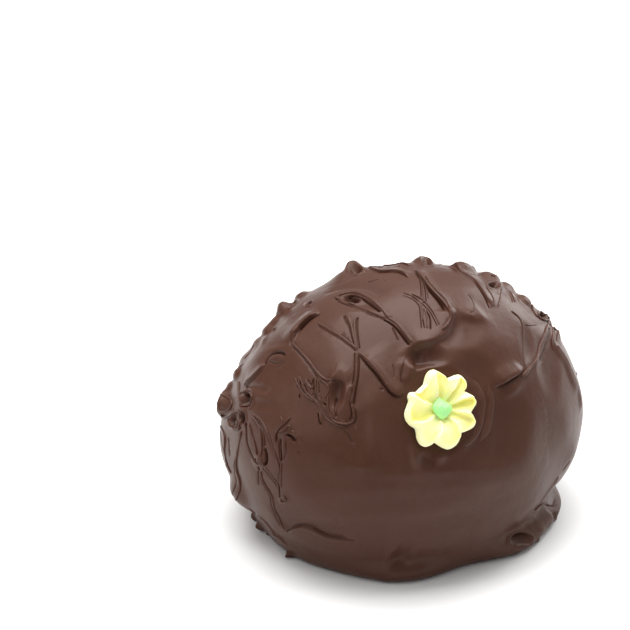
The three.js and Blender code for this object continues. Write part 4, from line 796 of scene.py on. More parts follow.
def add_thread(path, half, height):
    """Presses a shallow moat along the foot of a thread, and notes the thread and the grid points
    under it."""
    index, distance, share, _, _, run = near(path, max(np.max(half) * 2.2, UNDER_THREAD + 0.1))
    wide = widths(half, share)
    moat = np.exp(-(((distance - MOAT_AT * wide) / (MOAT_HALF * wide)) ** 2)) * MOAT_DEEP * height
    pressed[index] = np.maximum(pressed[index], moat * taper(share, run, THREAD_ENDS * wide) ** BLUNT)
    under = distance < UNDER_THREAD
    lanes.append((path, half, height, run, index[under], share[under]))


def add_flap(path, height, run_out, overhang, edge):
    """A step that rises over twice the edge on the left of the path, has a thicker rim, and fades
    over run_out; its lip slides to the right by the overhang and shades a slight hollow."""
    index, distance, share, side, left, run = near(path, BELL_REACH * run_out)
    signed = distance * side
    ends = taper(share, run, FLAP_ENDS)
    rise = ease((signed + edge) / (2 * edge))
    fade = np.exp(-((np.maximum(signed, 0) / run_out) ** 2))
    rim = np.exp(-(((signed - RIM_BESIDE * edge) / (RIM_HALF * edge)) ** 2))
    hollow = np.exp(-(((signed + HOLLOW_BESIDE * edge) / (RIM_HALF * edge)) ** 2))
    body[index] += height * ends * (rise * fade + RIM_SHARE * (rim - hollow))
    lip = np.exp(-(((signed - LIP_AT) / LIP_HALF) ** 2)) * overhang * ends
    slide[index] -= left * lip[:, None]


def bell_along(path, half, least):
    """The grid points near a path and exp(-(d / half)^2) at each, fading at both ends."""
    index, distance, share, _, _, run = near(path, BELL_REACH * np.max(half))
    wide = widths(half, share)
    return index, np.exp(-((distance / wide) ** 2)) * taper(share, run, 2.0 * wide, least)


def add_swelling(path, half, height):
    """A broad soft ridge: height times the bell along the path."""
    index, bell = bell_along(path, half, 0.1)
    body[index] += height * bell


def add_crease(path, half, depth):
    """A narrow trough: depth times the bell along the path, where nothing deeper is pressed."""
    index, bell = bell_along(path, half, 0.15)
    pressed[index] = np.maximum(pressed[index], depth * bell)


def add_lump(spot, right, up, height):
    """exp(-q / 2), where q is the square of the distance in half axes; a tall lump is flatter on
    top, and a hollow gets steeper walls and a slight rim at twice its half axes."""
    longest = max(np.linalg.norm(right), np.linalg.norm(up))
    index = np.flatnonzero(((base - spot) ** 2).sum(1) < (LUMP_REACH * longest) ** 2)
    off = base[index] - spot
    x, y = off @ right / (right @ right), off @ up / (up @ up)
    through = off @ np.cross(unit(right), unit(up)) / longest
    square = x * x + y * y + 0.5 * through**2
    if height < 0:
        rim = np.exp(-(((np.sqrt(square) - 2) / 0.5) ** 2))
        bell = np.exp(-((square / PIT_WALL) ** PIT_POWER)) - PIT_RIM * rim
    elif height < TALL:
        bell = np.exp(-0.5 * square)
    else:
        bell = np.exp(-((square / FLAT_TOP) ** FLAT_POWER))
    body[index] += height * bell


def draw_lump(x, y, across, tall, turn, height):
    """A lump of the sheet: its half axes are turned on the sheet and laid along the egg."""
    a = math.radians(turn)
    right = (sheet_right * math.cos(a) + sheet_up * math.sin(a)) * across
    up = (sheet_up * math.cos(a) - sheet_right * math.sin(a)) * tall
    add_lump(onto_skin([(x, y)])[0], right, up, height)


print("ready for", len(THREADS) + len(FLAPS) + len(CREASES) + len(SWELLINGS) + len(LUMPS), "drawn marks")

# %% Add up the relief
# Widths and heights in the tables are a first guess; these shares make all of a kind finer or higher.
FINE_THREAD, LOW_THREAD, FINE_CREASE, HIGH_FLAP = 0.64, 0.85, 0.5, 1.1


def drawn(marks):
    """Marks of the sheet, each with its points made a smooth path on the egg."""
    return [(onto_skin(flowing(points)), *shape) for points, *shape in marks]


for path, half, height in drawn(THREADS):
    add_thread(path, np.array(half) * FINE_THREAD, height * LOW_THREAD)
for path, half, height in drawn(SWELLINGS):
    add_swelling(path, half, height)
for path, height, *shape in drawn(FLAPS):
    add_flap(path, height * HIGH_FLAP, *shape)
for path, half, depth in drawn(CREASES):
    add_crease(path, np.array(half) * FINE_CREASE, depth)
for lump in LUMPS:
    draw_lump(*lump)
add_hidden = {add_thread: back_threads, add_flap: back_flaps, add_crease: back_creases, add_lump: back_lumps}
for add_mark, marks in add_hidden.items():
    for mark in marks:
        add_mark(*mark)
print("relief from", round(float(body.min()), 2), "to", round(float(body.max()), 2), "mm")

# %% [markdown]
# ## Waves and the flower's seat
# A dipped surface is never quite smooth. A noise texture on a Displace modifier could ripple it,
# but a sum of slow sines is a formula like the rest, and a tenth of a millimetre is enough. The
# flower needs a flat seat, pressed in a little. Last, the foot is pushed outwards.

# %% Ripple the shell and put the relief on
RIPPLES, RIPPLE_HEIGHT = 26, 0.3
CLEAR_HEIGHT = 3.0        # the relief fades out over this height above the table, mm
ripple_hand = np.random.default_rng(5)
ripple = np.zeros(len(base))
for _ in range(RIPPLES):
    wave = unit(ripple_hand.normal(size=3)) * 2 * math.pi / ripple_hand.uniform(11, 32)
    ripple += np.sin(base @ wave + ripple_hand.uniform(0, 6.3)) * ripple_hand.uniform(0.4, 1)
ripple *= RIPPLE_HEIGHT / math.sqrt(RIPPLES)
relief = body + ripple - pressed
clear = ease(base[:, 2] / CLEAR_HEIGHT)
skin = base + outward * (relief * clear)[:, None] + slide * clear[:, None]
print("ripple", round(float(ripple.std()), 3), "mm")

# %% Seat the flower
FLOWER_AT = (11.0, 2.7)
SEAT_DEPTH, SEAT_RADIUS, SEAT_BLEND, SEAT_SPAN = 1.3, 9.6, 2.6, 4
x, y = FLOWER_AT
beside = onto_shell([(x + SEAT_SPAN, y), (x - SEAT_SPAN, y), (x, y + SEAT_SPAN), (x, y - SEAT_SPAN)])
flower_axis = unit(np.cross(beside[0] - beside[1], beside[2] - beside[3]))
seat = onto_shell([FLOWER_AT])[0] - SEAT_DEPTH * flower_axis
away = skin - seat
high = away @ flower_axis
off = np.linalg.norm(away - high[:, None] * flower_axis, axis=1)
flat = (1 - ease((off - SEAT_RADIUS) / SEAT_BLEND)) * (high > -2 * SEAT_RADIUS)
skin -= (high * flat)[:, None] * flower_axis
skin += outwards * push[:, None]
skin[:, 2] = np.maximum(skin[:, 2], 0)
skin.reshape(len(rows), COLUMNS, 3)[-1, :, 2] = 0
print("seat at", np.round(seat, 2), "facing", np.round(flower_axis, 3))

# %% [markdown]
# ## From arrays to a mesh
# A real egg is closed all round, so its mesh has no open edge. bmesh could build the faces one by
# one, but a million of them go in faster as whole arrays: two fans close the top and the
# underside, and strips of four-cornered faces join the rows. One mesh may hold several grids.


# %% Turn a closed grid into a mesh object
def closed_mesh(name, grids):
    """One mesh of closed grids. Each is (points, top, bottom): rows of points around, a fan to a
    top point and a fan to a bottom point. Millimetres in, metres out; faces point outwards when
    rows go down and columns go anticlockwise."""
    where, fans, quads, first = [], [], [], 0
    for points, top, bottom in grids:
        n_rows, n_columns = points.shape[:2]
        grid = first + 1 + np.arange(n_rows * n_columns).reshape(n_rows, n_columns)
        after, last = np.roll(grid, -1, 1), first + 1 + n_rows * n_columns
        fans.append(np.stack([np.full(n_columns, first), grid[0], after[0]], 1))
        fans.append(np.stack([np.full(n_columns, last), after[-1], grid[-1]], 1))
        quads.append(np.stack([grid[:-1], grid[1:], after[1:], after[:-1]], -1).reshape(-1, 4))
        where += [[top], points.reshape(-1, 3), [bottom]]
        first = last + 1
    where, fans, quads = np.vstack(where) + MIDDLE, np.concatenate(fans), np.concatenate(quads)
    corners = np.concatenate([fans.ravel(), quads.ravel()])
    starts = np.concatenate([np.arange(len(fans)) * 3, len(fans) * 3 + np.arange(len(quads)) * 4])
    mesh = bpy.data.meshes.new(name)
    mesh.vertices.add(len(where))
    mesh.vertices.foreach_set("co", (where * 0.001).ravel())
    mesh.loops.add(len(corners))
    mesh.loops.foreach_set("vertex_index", corners)
    mesh.polygons.add(len(starts))
    mesh.polygons.foreach_set("loop_start", starts)
    mesh.update(calc_edges=True)
    mesh.shade_smooth()
    return show(name, mesh)


def settle(piece):
    """Applies the modifiers of a piece, so that what is left is plain mesh."""
    bpy.context.view_layer.update()
    finished = piece.evaluated_get(bpy.context.evaluated_depsgraph_get())
    mesh = bpy.data.meshes.new_from_object(finished)
    piece.modifiers.clear()
    piece.data = mesh
    mesh.shade_smooth()


def keep_on_points(piece, name, values, other=0.0):
    """Stores a number on each point for the materials: the values from the second point on, and
    the other number everywhere else."""
    kept = np.full(len(piece.data.vertices), other, np.float32)
    kept[1 : 1 + np.size(values)] = np.ravel(values)
    piece.data.attributes.new(name, "FLOAT", "POINT").data.foreach_set("value", kept)
    print(piece.name, name, "from", round(float(kept.min()), 2), "to", round(float(kept.max()), 2))


skin_grid = skin.reshape(len(rows), COLUMNS, 3)
inner = [skin_grid[-1] * share * [1, 1, 0] for share in (0.97, 0.85, 0.6, 0.3)]   # the underside
skin_grid = np.concatenate([skin_grid, np.array(inner)])
top = skin_grid[0].mean(0)
egg = closed_mesh("dipped_egg", [(skin_grid, top, np.zeros(3))])
print("egg grid has", len(egg.data.polygons), "faces")

# %% Keep measures of ridges and hollows for the painted highlight and shade
FULL_RIDGE, FULL_CREASE, FULL_HOLLOW = 1.2, 0.8, 1.6   # mm at which each measure is at its most
# the height of raised flaps, swellings and lumps, which the chocolate paints paler as a painted highlight
keep_on_points(egg, "crest", 0.6 * np.clip(body / FULL_RIDGE, 0, 1) * clear)
# the depth of creases, moats and hollows, which the chocolate paints darker as a painted shade
sunk = np.clip(pressed / FULL_CREASE + np.maximum(-body, 0) / FULL_HOLLOW, 0, 1) * clear
keep_on_points(egg, "sunk", sunk)

# %% Thin the mesh where it is smooth
# under the number at which its STL file would be thinned
EGG_TRIANGLES = 190000     # how many triangles the Decimate modifier leaves on the egg
thin = egg.modifiers.new("thin", "DECIMATE")
thin.ratio = EGG_TRIANGLES / (2 * len(egg.data.polygons))
settle(egg)
print("egg has", len(egg.data.polygons), "faces,", [a.name for a in egg.data.attributes])

# %% [markdown]
# ## The threads
# A thread is a cord that lies half sunk on the skin. As a ridge of the grid it would be ragged,
# and a curve with a round bevel would float over dips. So its rings are worked out here: a path
# was drawn on the bare shell, is first moved as the grid points under it were moved, and then
# gets rings that lie across it and stand upright on the skin.

# %% Lay the threads on the skin
CORD_STEP, CORD_SIDES, CORD_SUNK = 0.3, 12, 0.5   # ring spacing mm, corners of a ring, depth mm
CELL, LEAST_CELLS, LEAST_RINGS = 0.7, 4, 12       # spacing of the means along a path, mm
CORD_TIP, CORD_WAVE = 0.04, 0.14                  # least size at an end, and how uneven a cord is
moved = skin - base


def follow(values, cells, filled, share):
    """Means of the values in each cell along a path, read between the cells' middles."""
    count = np.bincount(cells, minlength=len(filled))[filled]
    means = [np.bincount(cells, column, len(filled))[filled] / count for column in values.T]
    middles = (np.flatnonzero(filled) + 0.5) / len(filled)
    return np.stack([np.interp(share, middles, mean) for mean in means], 1)


def cord(path, half, height, run, index, share_of):
    """Rings of a thread: half an ellipse over the skin, half under it, small at both ends."""
    step = np.linalg.norm(np.diff(path, axis=0), axis=1)
    share = np.linspace(0, 1, max(LEAST_RINGS, int(run / CORD_STEP)))
    at = np.concatenate([[0], np.cumsum(step)]) / step.sum()
    place = np.stack([np.interp(share, at, column) for column in path.T], 1)
    parts = max(LEAST_CELLS, int(run / CELL))
    cells = np.minimum((share_of * parts).astype(int), parts - 1)
    filled = np.bincount(cells, minlength=parts) > 0
    place += follow(moved[index], cells, filled, share)
    along = unit(np.gradient(place, axis=0))
    side = unit(np.cross(along, follow(outward[index], cells, filled, share)))
    up = np.cross(side, along)
    wide = widths(half, share)
    ends = np.maximum(taper(share, run, THREAD_ENDS * wide) ** BLUNT, CORD_TIP)
    size = ends * (1 + CORD_WAVE * np.sin(share * run * 0.9 + wide * 4))
    angle = np.linspace(0, 2 * math.pi, CORD_SIDES, endpoint=False)
    over = np.outer(height * size, np.maximum(np.sin(angle), 0))
    below = np.outer(ends, np.minimum(np.sin(angle), 0)) * CORD_SUNK
    across = np.outer(wide * size, np.cos(angle))
    rings = place[:, None] + across[..., None] * side[:, None] + (over + below)[..., None] * up[:, None]
    return rings, place[0], place[-1]


threads = closed_mesh("dragged_threads", [cord(*lane) for lane in lanes])
# the threads are painted paler all along, a painted highlight
keep_on_points(threads, "crest", [], 0.8)
print(len(lanes), "threads have", len(threads.data.polygons), "faces")

# %% [markdown]
# ## The icing flower
# A drop flower is piped in one press and a twist: a star nozzle turns as it lets the icing out. Each
# of its eight petals has a thin raised ridge that curves out from the middle to the tip, a pocket
# on the clockwise side of the ridge, and a rim that folds up around the pocket. One petal copied
# eight times would be too even for piped icing. So the flower is one grid too: around, and out
# from the middle, in the plane of the seat, with a size and a depth for each petal.

# %% Draw the petals
# The rim, clockwise on the sheet from the upper left petal, and the run of each petal's ridge from
# the middle to its tip.
PETAL_EDGE = [
    (3.8, 7.2), (4.8, 8.2), (6.1, 9.6), (6.6, 11.5), (7.4, 12.9), (8.7, 13.4), (10.0, 12.9), (11.3, 12.0),
    (12.1, 11.1), (13.2, 11.4), (14.4, 11.9), (15.6, 12.0), (16.8, 11.2), (17.4, 9.8), (17.2, 8.5),
    (16.7, 7.8), (18.2, 6.9), (19.7, 5.8), (20.2, 4.6), (19.6, 3.3), (18.9, 2.3), (18.6, 1.6),
    (19.4, 0.6), (20.0, -0.9), (19.2, -2.2), (17.4, -3.1), (15.8, -3.7), (15.7, -4.8), (15.1, -6.4),
    (13.9, -7.5), (12.5, -7.9), (10.9, -7.3), (9.4, -6.3), (8.8, -6.2), (7.8, -6.9), (6.5, -7.2),
    (5.2, -6.5), (4.4, -5.0), (4.2, -3.6), (3.8, -2.4), (2.3, -1.3), (1.3, 0.2), (1.1, 1.8), (1.6, 3.5),
    (2.1, 5.0), (1.9, 6.2), (2.2, 7.1), (2.9, 7.4),
]
PETAL_RIDGES = [
    [(9.2, 1.2), (6.6, -0.9), (3.0, -1.0)], [(11.2, 0.0), (10.9, -3.4), (9.2, -6.2)],
    [(12.9, 1.0), (14.9, -1.4), (15.8, -3.9)], [(13.4, 2.3), (16.4, 2.1), (18.6, 1.6)],
    [(13.3, 3.9), (16.4, 5.6), (19.3, 6.1)],
    [(12.4, 5.4), (14.2, 8.6), (15.4, 11.9)], [(10.3, 6.0), (9.2, 9.4), (8.9, 13.2)],
    [(9.0, 4.0), (5.4, 4.5), (2.4, 6.7)],
]
# In the order of the ridges' directions, anticlockwise from the right: size and depth of pocket.
PETAL_SIZE = np.array([0.95, 0.95, 1.05, 0.95, 1.0, 0.95, 0.9, 0.9])
PETAL_POCKET = np.array([0.9, 0.75, 0.7, 0.75, 0.8, 0.35, 0.5, 0.7])
PETAL_BASE, PETAL_BODY, PETAL_RISE = 0.7, 1.2, 2.6
FLOWER_GAP = 0.3                    # lift over the seat, mm
EDGE_LIFT, RIDGE_LIFT = 1.0, 2.6    # heights over the seat at which rim and ridges are drawn, mm
RIDGE_SHARES = (0.3, 0.62, 1.0)     # shares of the reach at which a ridge's direction is kept

flower_x = unit(sheet_right - flower_axis * (sheet_right @ flower_axis))
flower_y = np.cross(flower_axis, flower_x)
stand = seat + FLOWER_GAP * flower_axis


def from_sheet(marks, lift):
    """Direction and distance from the middle, in the flower's plane, of marks of the sheet."""
    way = sight(marks)
    middle = stand + lift * flower_axis
    far = ((middle - eye) @ flower_axis) / (way @ flower_axis)
    off = eye + way * far[:, None] - middle
    x, y = off @ flower_x, off @ flower_y
    return np.arctan2(y, x), np.hypot(x, y)


edge_way, edge_reach = from_sheet(flowing(PETAL_EDGE + PETAL_EDGE[:1], 0.25), EDGE_LIFT)
order = np.argsort(edge_way)
edge_way, edge_reach = edge_way[order], edge_reach[order]


def petal_rim(turned):
    """Reach of the rim in a direction."""
    return np.interp(turned, edge_way, edge_reach, period=2 * math.pi)


def ridge_directions():
    """For each ridge: degrees anticlockwise at the RIDGE_SHARES of the rim's reach."""
    found = []
    for ridge in PETAL_RIDGES:
        way, reach = from_sheet(flowing(ridge, 0.3), RIDGE_LIFT)
        way = np.unwrap(way)
        share = np.maximum.accumulate(reach / petal_rim(way))
        found.append(np.degrees(np.interp(RIDGE_SHARES, share, way)))
    return np.array(found)


ridge_ways = ridge_directions()
ridge_ways = ridge_ways[np.argsort(ridge_ways[:, 1] % 360)]
PETALS = len(ridge_ways)
print(PETALS, "petals, ridges at", np.round(ridge_ways[:, 1] % 360).astype(int).tolist(), "degrees")

# %% Write the petals as a function of direction and reach
RIDGE_HALF = 0.13                          # share of a petal over which its ridge falls away
RIM_AT, RIM_HALF_WIDTH, RIM_RISE = 0.93, 0.06, 0.7
ROLL_FROM, ROLL_SHARE = 0.86, 0.4          # where the edge starts to roll down, and how far
WRINKLE = 0.05                             # height of the fine wrinkles in a pocket, mm


def petal_at(turned, share):
    """Which petal a point is on, and how far it is from the petal's own ridge (0) to the next one
    clockwise (1). The ridges bend, so their directions are read at the point's share of reach."""
    ridges = np.stack([np.interp(share, RIDGE_SHARES, ridge) for ridge in ridge_ways], -1)
    behind_ridge = (ridges - np.degrees(turned)[..., None]) % 360
    index = np.argmin(behind_ridge, -1)
    gone = np.take_along_axis(behind_ridge, index[..., None], -1)[..., 0]
    after = np.take_along_axis(ridges, (index[..., None] - 1) % PETALS, -1)[..., 0]
    own = np.take_along_axis(ridges, index[..., None], -1)[..., 0]
    return index, gone / np.maximum((own - after) % 360, 1e-6)


def petal_form(turned, share):
    """0 in a pocket to 1 on a ridge or a rim: a quick fall beside the ridge, a slow rise to the
    next, and a folded-up rim at nine tenths of the reach."""
    index, across = petal_at(turned, share)
    fall = np.exp(-((across / RIDGE_HALF) ** 1.6))
    rise = 0.12 + 0.88 * across**2.1
    rim = RIM_RISE * np.exp(-(((share - RIM_AT) / RIM_HALF_WIDTH) ** 2))
    rim = rim * (0.55 + 0.45 * np.sin(math.pi * across) ** 0.5)
    form = 1 - PETAL_POCKET[index] * (1 - np.maximum(np.maximum(fall, rise), rim))
    return index, across, form


def petal_top(turned, share):
    """Height over the seat: low in the middle, then ridges and pockets, and a rolled edge."""
    index, across, form = petal_form(turned, share)
    out = ease((share - 0.16) / 0.5)
    rolled = 1 - ROLL_SHARE * ease((share - ROLL_FROM) / (1 - ROLL_FROM))
    size = PETAL_SIZE[index] * (1 - across) + PETAL_SIZE[(index - 1) % PETALS] * across
    wrinkle = WRINKLE * np.sin(across * 17 + 2 * index + 5 * share) * out * (1 - form)
    return PETAL_BASE + PETAL_BODY * rolled + PETAL_RISE * out * size * form * rolled + wrinkle


tops = petal_top(np.linspace(0, 2 * math.pi, 400), np.full(400, 0.8))
print("tallest petal", round(float(tops.max()), 2), "mm")

# %% Build the flower on its seat
FLOWER_AROUND, FLOWER_ROWS, EDGE_ROWS = 640, 120, 14
FLAT_TO = 0.94             # share of the reach up to which the top is flat; then the edge rounds


def on_seat(x, y, z):
    """Points of the flower's own plane and height, set on the seat."""
    return stand + x[..., None] * flower_x + y[..., None] * flower_y + z[..., None] * flower_axis


def polar(turned, radius, z):
    """Points on the seat from a direction, a radius and a height."""
    return on_seat(radius * np.cos(turned), radius * np.sin(turned), z)


flat_shares = np.linspace(0.02, FLAT_TO, FLOWER_ROWS - EDGE_ROWS)
edge_shares = 1 - (1 - FLAT_TO) * np.cos(np.linspace(0.2, 1.57, EDGE_ROWS))
shares = np.concatenate([flat_shares, edge_shares])
turned, share = np.meshgrid(np.linspace(0, 2 * math.pi, FLOWER_AROUND, endpoint=False), shares)
past = np.maximum(share - FLAT_TO, 0) / (1 - FLAT_TO)
round_edge = 0.25 + 0.75 * np.sqrt(np.clip(1 - past**2, 0, 1))
height = petal_top(turned, share)
upper = polar(turned, petal_rim(turned) * share, PETAL_BASE + (height - PETAL_BASE) * round_edge)
lower = [
    polar(turned[0], petal_rim(turned[0]) * part, np.full(FLOWER_AROUND, z))
    for part, z in ((0.985, 0.55), (0.95, 0.2), (0.86, 0.0), (0.4, 0.0))
]
middle_top = stand + flower_axis * (PETAL_BASE + PETAL_BODY)
flower = closed_mesh("piped_flower", [(np.concatenate([upper, np.array(lower)]), middle_top, stand)])
keep_on_points(flower, "fold", (1 - petal_form(turned, share)[2]) * ease((0.97 - share) / 0.1))
print("flower has", len(flower.data.polygons), "faces")

# %% [markdown]
# ## The green centre
# The centre is one small dot from a round nozzle: an uneven bead that sags a little, with a low
# tip pulled up to the left where the nozzle left. A ball from Blender's own menu would be too
# round, so its radius gets a few slow sines, and its top a tip.

# %% Build the centre dot
CENTRE_RADIUS, CENTRE_RISE, CENTRE_TIP, CENTRE_SUNK = 2.3, 2.2, 0.28, 0.35
CENTRE_WAVES = [(0.05, 2, 2.4), (0.06, 3, 0.6), (0.04, 4, 1.2)]   # share, waves around, phase
CENTRE_AROUND, CENTRE_ROWS = 96, 40
dip = np.linspace(0.02, 1, CENTRE_ROWS) * math.radians(118)
turned, slope = np.meshgrid(np.linspace(0, 2 * math.pi, CENTRE_AROUND, endpoint=False), dip)
bulge = 1 + sum(high * np.sin(count * turned + phase) for high, count, phase in CENTRE_WAVES)
pull = 0.2 * np.exp(-(((turned - math.radians(108)) / 0.32) ** 2)) * np.sin(slope)
radius = CENTRE_RADIUS * np.sin(slope) * (bulge + pull)
height = CENTRE_RISE * (0.34 + 0.62 * np.cos(slope)) + 0.05 * np.sin(slope * 11 + turned)
lean = np.exp(-((slope / 0.5) ** 2))
dot_floor = PETAL_BASE + PETAL_BODY + FLOWER_GAP - CENTRE_SUNK
x = radius * np.cos(turned) - 0.4 + 0.1 * lean
y = radius * np.sin(turned) + 0.1 * lean
dot = on_seat(x, y, dot_floor + np.maximum(height, 0) + CENTRE_TIP * lean)
tip = on_seat(np.array(-0.3), np.array(0.1), np.array(dot_floor + CENTRE_RISE * 0.96 + CENTRE_TIP))
centre = closed_mesh("piped_centre", [(dot, tip, stand + flower_axis * (dot_floor - 0.05))])
print("centre has", len(centre.data.polygons), "faces")

# %% [markdown]
# ## Shared effects for the finishes
# Chocolate and icing both need a slow drift of tone and a fine grain. The same nodes could be
# copied into each material, but a copy is soon changed in one place and not in the other. So each
# effect is built once, as a node group that puts out numbers that change over the surface. The
# shader itself stays in each material with its own constants.


# %% Write small helpers for nodes
def set_sockets(node, **values):
    """Puts constants on a node's own sockets; an underscore stands for a space."""
    for label, value in values.items():
        node.inputs[label.replace("_", " ")].default_value = value


def new_group(name, output, **inputs):
    """A shader node group with a vector input, float inputs and one float output."""
    group = bpy.data.node_groups.new(name, "ShaderNodeTree")
    group.interface.new_socket("Vector", in_out="INPUT", socket_type="NodeSocketVector")
    for label, default in inputs.items():
        socket = group.interface.new_socket(label, in_out="INPUT", socket_type="NodeSocketFloat")
        socket.default_value = default
    group.interface.new_socket(output, in_out="OUTPUT", socket_type="NodeSocketFloat")
    enter, leave = group.nodes.new("NodeGroupInput"), group.nodes.new("NodeGroupOutput")
    return group, enter.outputs, leave.inputs[output]


def noise(tree, vector, scale, detail=2.0, roughness=0.5):
    """A noise texture; its scale is a number, per metre, or a socket."""
    node = tree.nodes.new("ShaderNodeTexNoise")
    set_sockets(node, Detail=detail, Roughness=roughness)
    tree.links.new(vector, node.inputs["Vector"])
    if hasattr(scale, "links"):
        tree.links.new(scale, node.inputs["Scale"])
    else:
        node.inputs["Scale"].default_value = scale
    return node.outputs["Fac"]


def maths(tree, operation, first, second, third=None, clamp=False):
    """A Math node on sockets or plain numbers."""
    node = tree.nodes.new("ShaderNodeMath")
    node.operation, node.use_clamp = operation, clamp
    for socket, value in zip(node.inputs, (first, second, third)):
        if value is None:
            continue
        if hasattr(value, "links"):
            tree.links.new(value, socket)
        else:
            socket.default_value = value
    return node.outputs[0]


print("helpers:", [helper.__name__ for helper in (set_sockets, new_group, noise, maths)])

# %% Build the node groups
drift, enter, leave = new_group("tone drift", "Tone", Slow=60.0, Quick=500.0)
slow_noise = noise(drift, enter["Vector"], enter["Slow"], 3.0)
quick_noise = noise(drift, enter["Vector"], enter["Quick"], 4.0, 0.6)
both = maths(drift, "MULTIPLY_ADD", quick_noise, 0.3, maths(drift, "MULTIPLY", slow_noise, 0.7))
drift.links.new(both, leave)

grain, enter, leave = new_group("fine grain", "Height", Size=1500.0)
grain.links.new(noise(grain, enter["Vector"], enter["Size"], 3.0, 0.55), leave)
print("groups:", [group.name for group in (drift, grain)])

# %% [markdown]
# ## Chocolate
# Set couverture is a deep, slightly grey brown with a satin gloss. Its colour is painted paler along
# the threads and ridges, a painted highlight, and darker in creases and hollows, a painted shade. A
# picture of chocolate would stretch over the folds, so the tones come from the drift and from the
# measures that were kept on the points. A grain far smaller than a millimetre keeps the gloss from
# looking like plastic.

# %% Mix the chocolate
# the second colour is paler, for the random mottle and for the painted highlight on ridges and threads
CHOCOLATE, MOTTLE_AND_HIGHLIGHT_CHOCOLATE = (0.061, 0.0238, 0.0149), (0.078, 0.0355, 0.0242)
# the colour that the painted shade darkens towards in creases, moats and hollows
PAINTED_SHADE_CHOCOLATE = (0.04, 0.0148, 0.009)


def mix_colour(tree, factor, first, second):
    """A Mix node on colours; each side is a plain colour or a socket."""
    node = tree.nodes.new("ShaderNodeMix")
    node.data_type = "RGBA"
    tree.links.new(factor, node.inputs[0])
    for socket, value in ((node.inputs[6], first), (node.inputs[7], second)):
        if hasattr(value, "links"):
            tree.links.new(value, socket)
        else:
            socket.default_value = (*value, 1)
    return node.outputs[2]


def place_group(tree, group, vector, **values):
    """Puts a group in a material, reading the given vector."""
    node = tree.nodes.new("ShaderNodeGroup")
    node.node_tree = group
    tree.links.new(vector, node.inputs["Vector"])
    set_sockets(node, **values)
    return node.outputs[0]


def new_material(name):
    """A material with its tree, shader and Object coordinates."""
    material = bpy.data.materials.new(name)
    material.use_nodes = True
    tree = material.node_tree
    place = tree.nodes.new("ShaderNodeTexCoord").outputs["Object"]
    return material, tree, tree.nodes["Principled BSDF"], place


def surface_value(tree, name):
    """A number kept on the points of the mesh."""
    node = tree.nodes.new("ShaderNodeAttribute")
    node.attribute_name = name
    return node.outputs["Fac"]


def bump(tree, height, distance, strength, under=None):
    """A Bump node on a height that is worth a distance in metres; under is a normal it adds to."""
    node = tree.nodes.new("ShaderNodeBump")
    set_sockets(node, Strength=strength, Distance=distance)
    tree.links.new(height, node.inputs["Height"])
    if under is not None:
        tree.links.new(under, node.inputs["Normal"])
    return node.outputs["Normal"]


chocolate, tree, shader, object_place = new_material("chocolate")
tone = place_group(tree, drift, object_place, Slow=70.0, Quick=620.0)
grain_height = place_group(tree, grain, object_place, Size=1400.0)
ridge_highlight_mask, hollow_shade_mask = surface_value(tree, "crest"), surface_value(tree, "sunk")
mottle = maths(tree, "MULTIPLY_ADD", tone, 1.7, -0.58, clamp=True)
# paler where the random mottle and the painted highlight on ridges and threads add up
pale = maths(tree, "MULTIPLY_ADD", ridge_highlight_mask, 0.35, mottle, clamp=True)
colour = mix_colour(tree, pale, CHOCOLATE, MOTTLE_AND_HIGHLIGHT_CHOCOLATE)
# painted shade: darker in creases, pits and the moats beside the threads
colour = mix_colour(tree, maths(tree, "MULTIPLY", hollow_shade_mask, 0.7), colour, PAINTED_SHADE_CHOCOLATE)
tree.links.new(colour, shader.inputs["Base Color"])
rough = maths(tree, "MULTIPLY_ADD", tone, 0.3, 0.22)
tree.links.new(rough, shader.inputs["Roughness"])
set_sockets(shader, IOR=1.45, Specular_IOR_Level=0.18, Specular_Tint=(1.0, 0.85, 0.78, 1))
set_sockets(shader, Coat_Weight=0.06, Coat_Roughness=0.15)
slow_bump = bump(tree, noise(tree, object_place, 240.0, 2.0), 0.00025, 0.5)
tree.links.new(bump(tree, grain_height, 0.00006, 0.5, slow_bump), shader.inputs["Normal"])
print("chocolate nodes:", len(tree.nodes))

# %% [markdown]
# ## Icing
# Royal icing dries smooth and matt, and light goes a little way into it, so its folds glow a
# deeper yellow than its lit rims. Subsurface scattering alone is too weak for that at this size,
# so the kept measure of the folds deepens the colour too. The green dot is the same icing with
# another colour, so one function mixes both.


# %% Mix the two icings
def mix_icing(name, pale_tone, deep_tone, fold_mask):
    """Icing: pale where it catches light, deeper in its folds, with a soft scatter."""
    material, tree, shader, object_place = new_material(name)
    tone = place_group(tree, drift, object_place, Slow=300.0, Quick=1500.0)
    deep = maths(tree, "MULTIPLY", maths(tree, "SUBTRACT", tone, 0.35), 0.5, clamp=True)
    if fold_mask:
        deep = maths(tree, "MULTIPLY_ADD", surface_value(tree, fold_mask), 0.8, deep, clamp=True)
    tree.links.new(mix_colour(tree, deep, pale_tone, deep_tone), shader.inputs["Base Color"])
    set_sockets(shader, Roughness=0.55, Subsurface_Weight=0.5)
    set_sockets(shader, Subsurface_Radius=(1.0, 0.8, 0.3), Subsurface_Scale=0.0014)
    grain_height = place_group(tree, grain, object_place, Size=3200.0)
    tree.links.new(bump(tree, grain_height, 0.00004, 0.4), shader.inputs["Normal"])
    return material


yellow_icing = mix_icing("yellow_icing", (1.0, 0.97, 0.56), (1.0, 0.92, 0.12), "fold")
green_icing = mix_icing("green_icing", (0.44, 0.92, 0.36), (0.3, 0.82, 0.26), None)
finishes = ((egg, chocolate), (threads, chocolate), (flower, yellow_icing), (centre, green_icing))
for piece, material in finishes:
    piece.data.materials.clear()
    piece.data.materials.append(material)
print("finishes:", {piece.name: material.name for piece, material in finishes})

# %% [markdown]
# ## Floor and light
# The egg stands on a plain pale floor in soft studio light. One small lamp would put a hard
# highlight on the gloss, so there is a wide overhead softbox a little behind the egg, whose
# reflection gives the crown its sheen, weaker ones at the sides for the bright outlines, and a
# pale surround that is brighter behind and above and dark behind on the left.

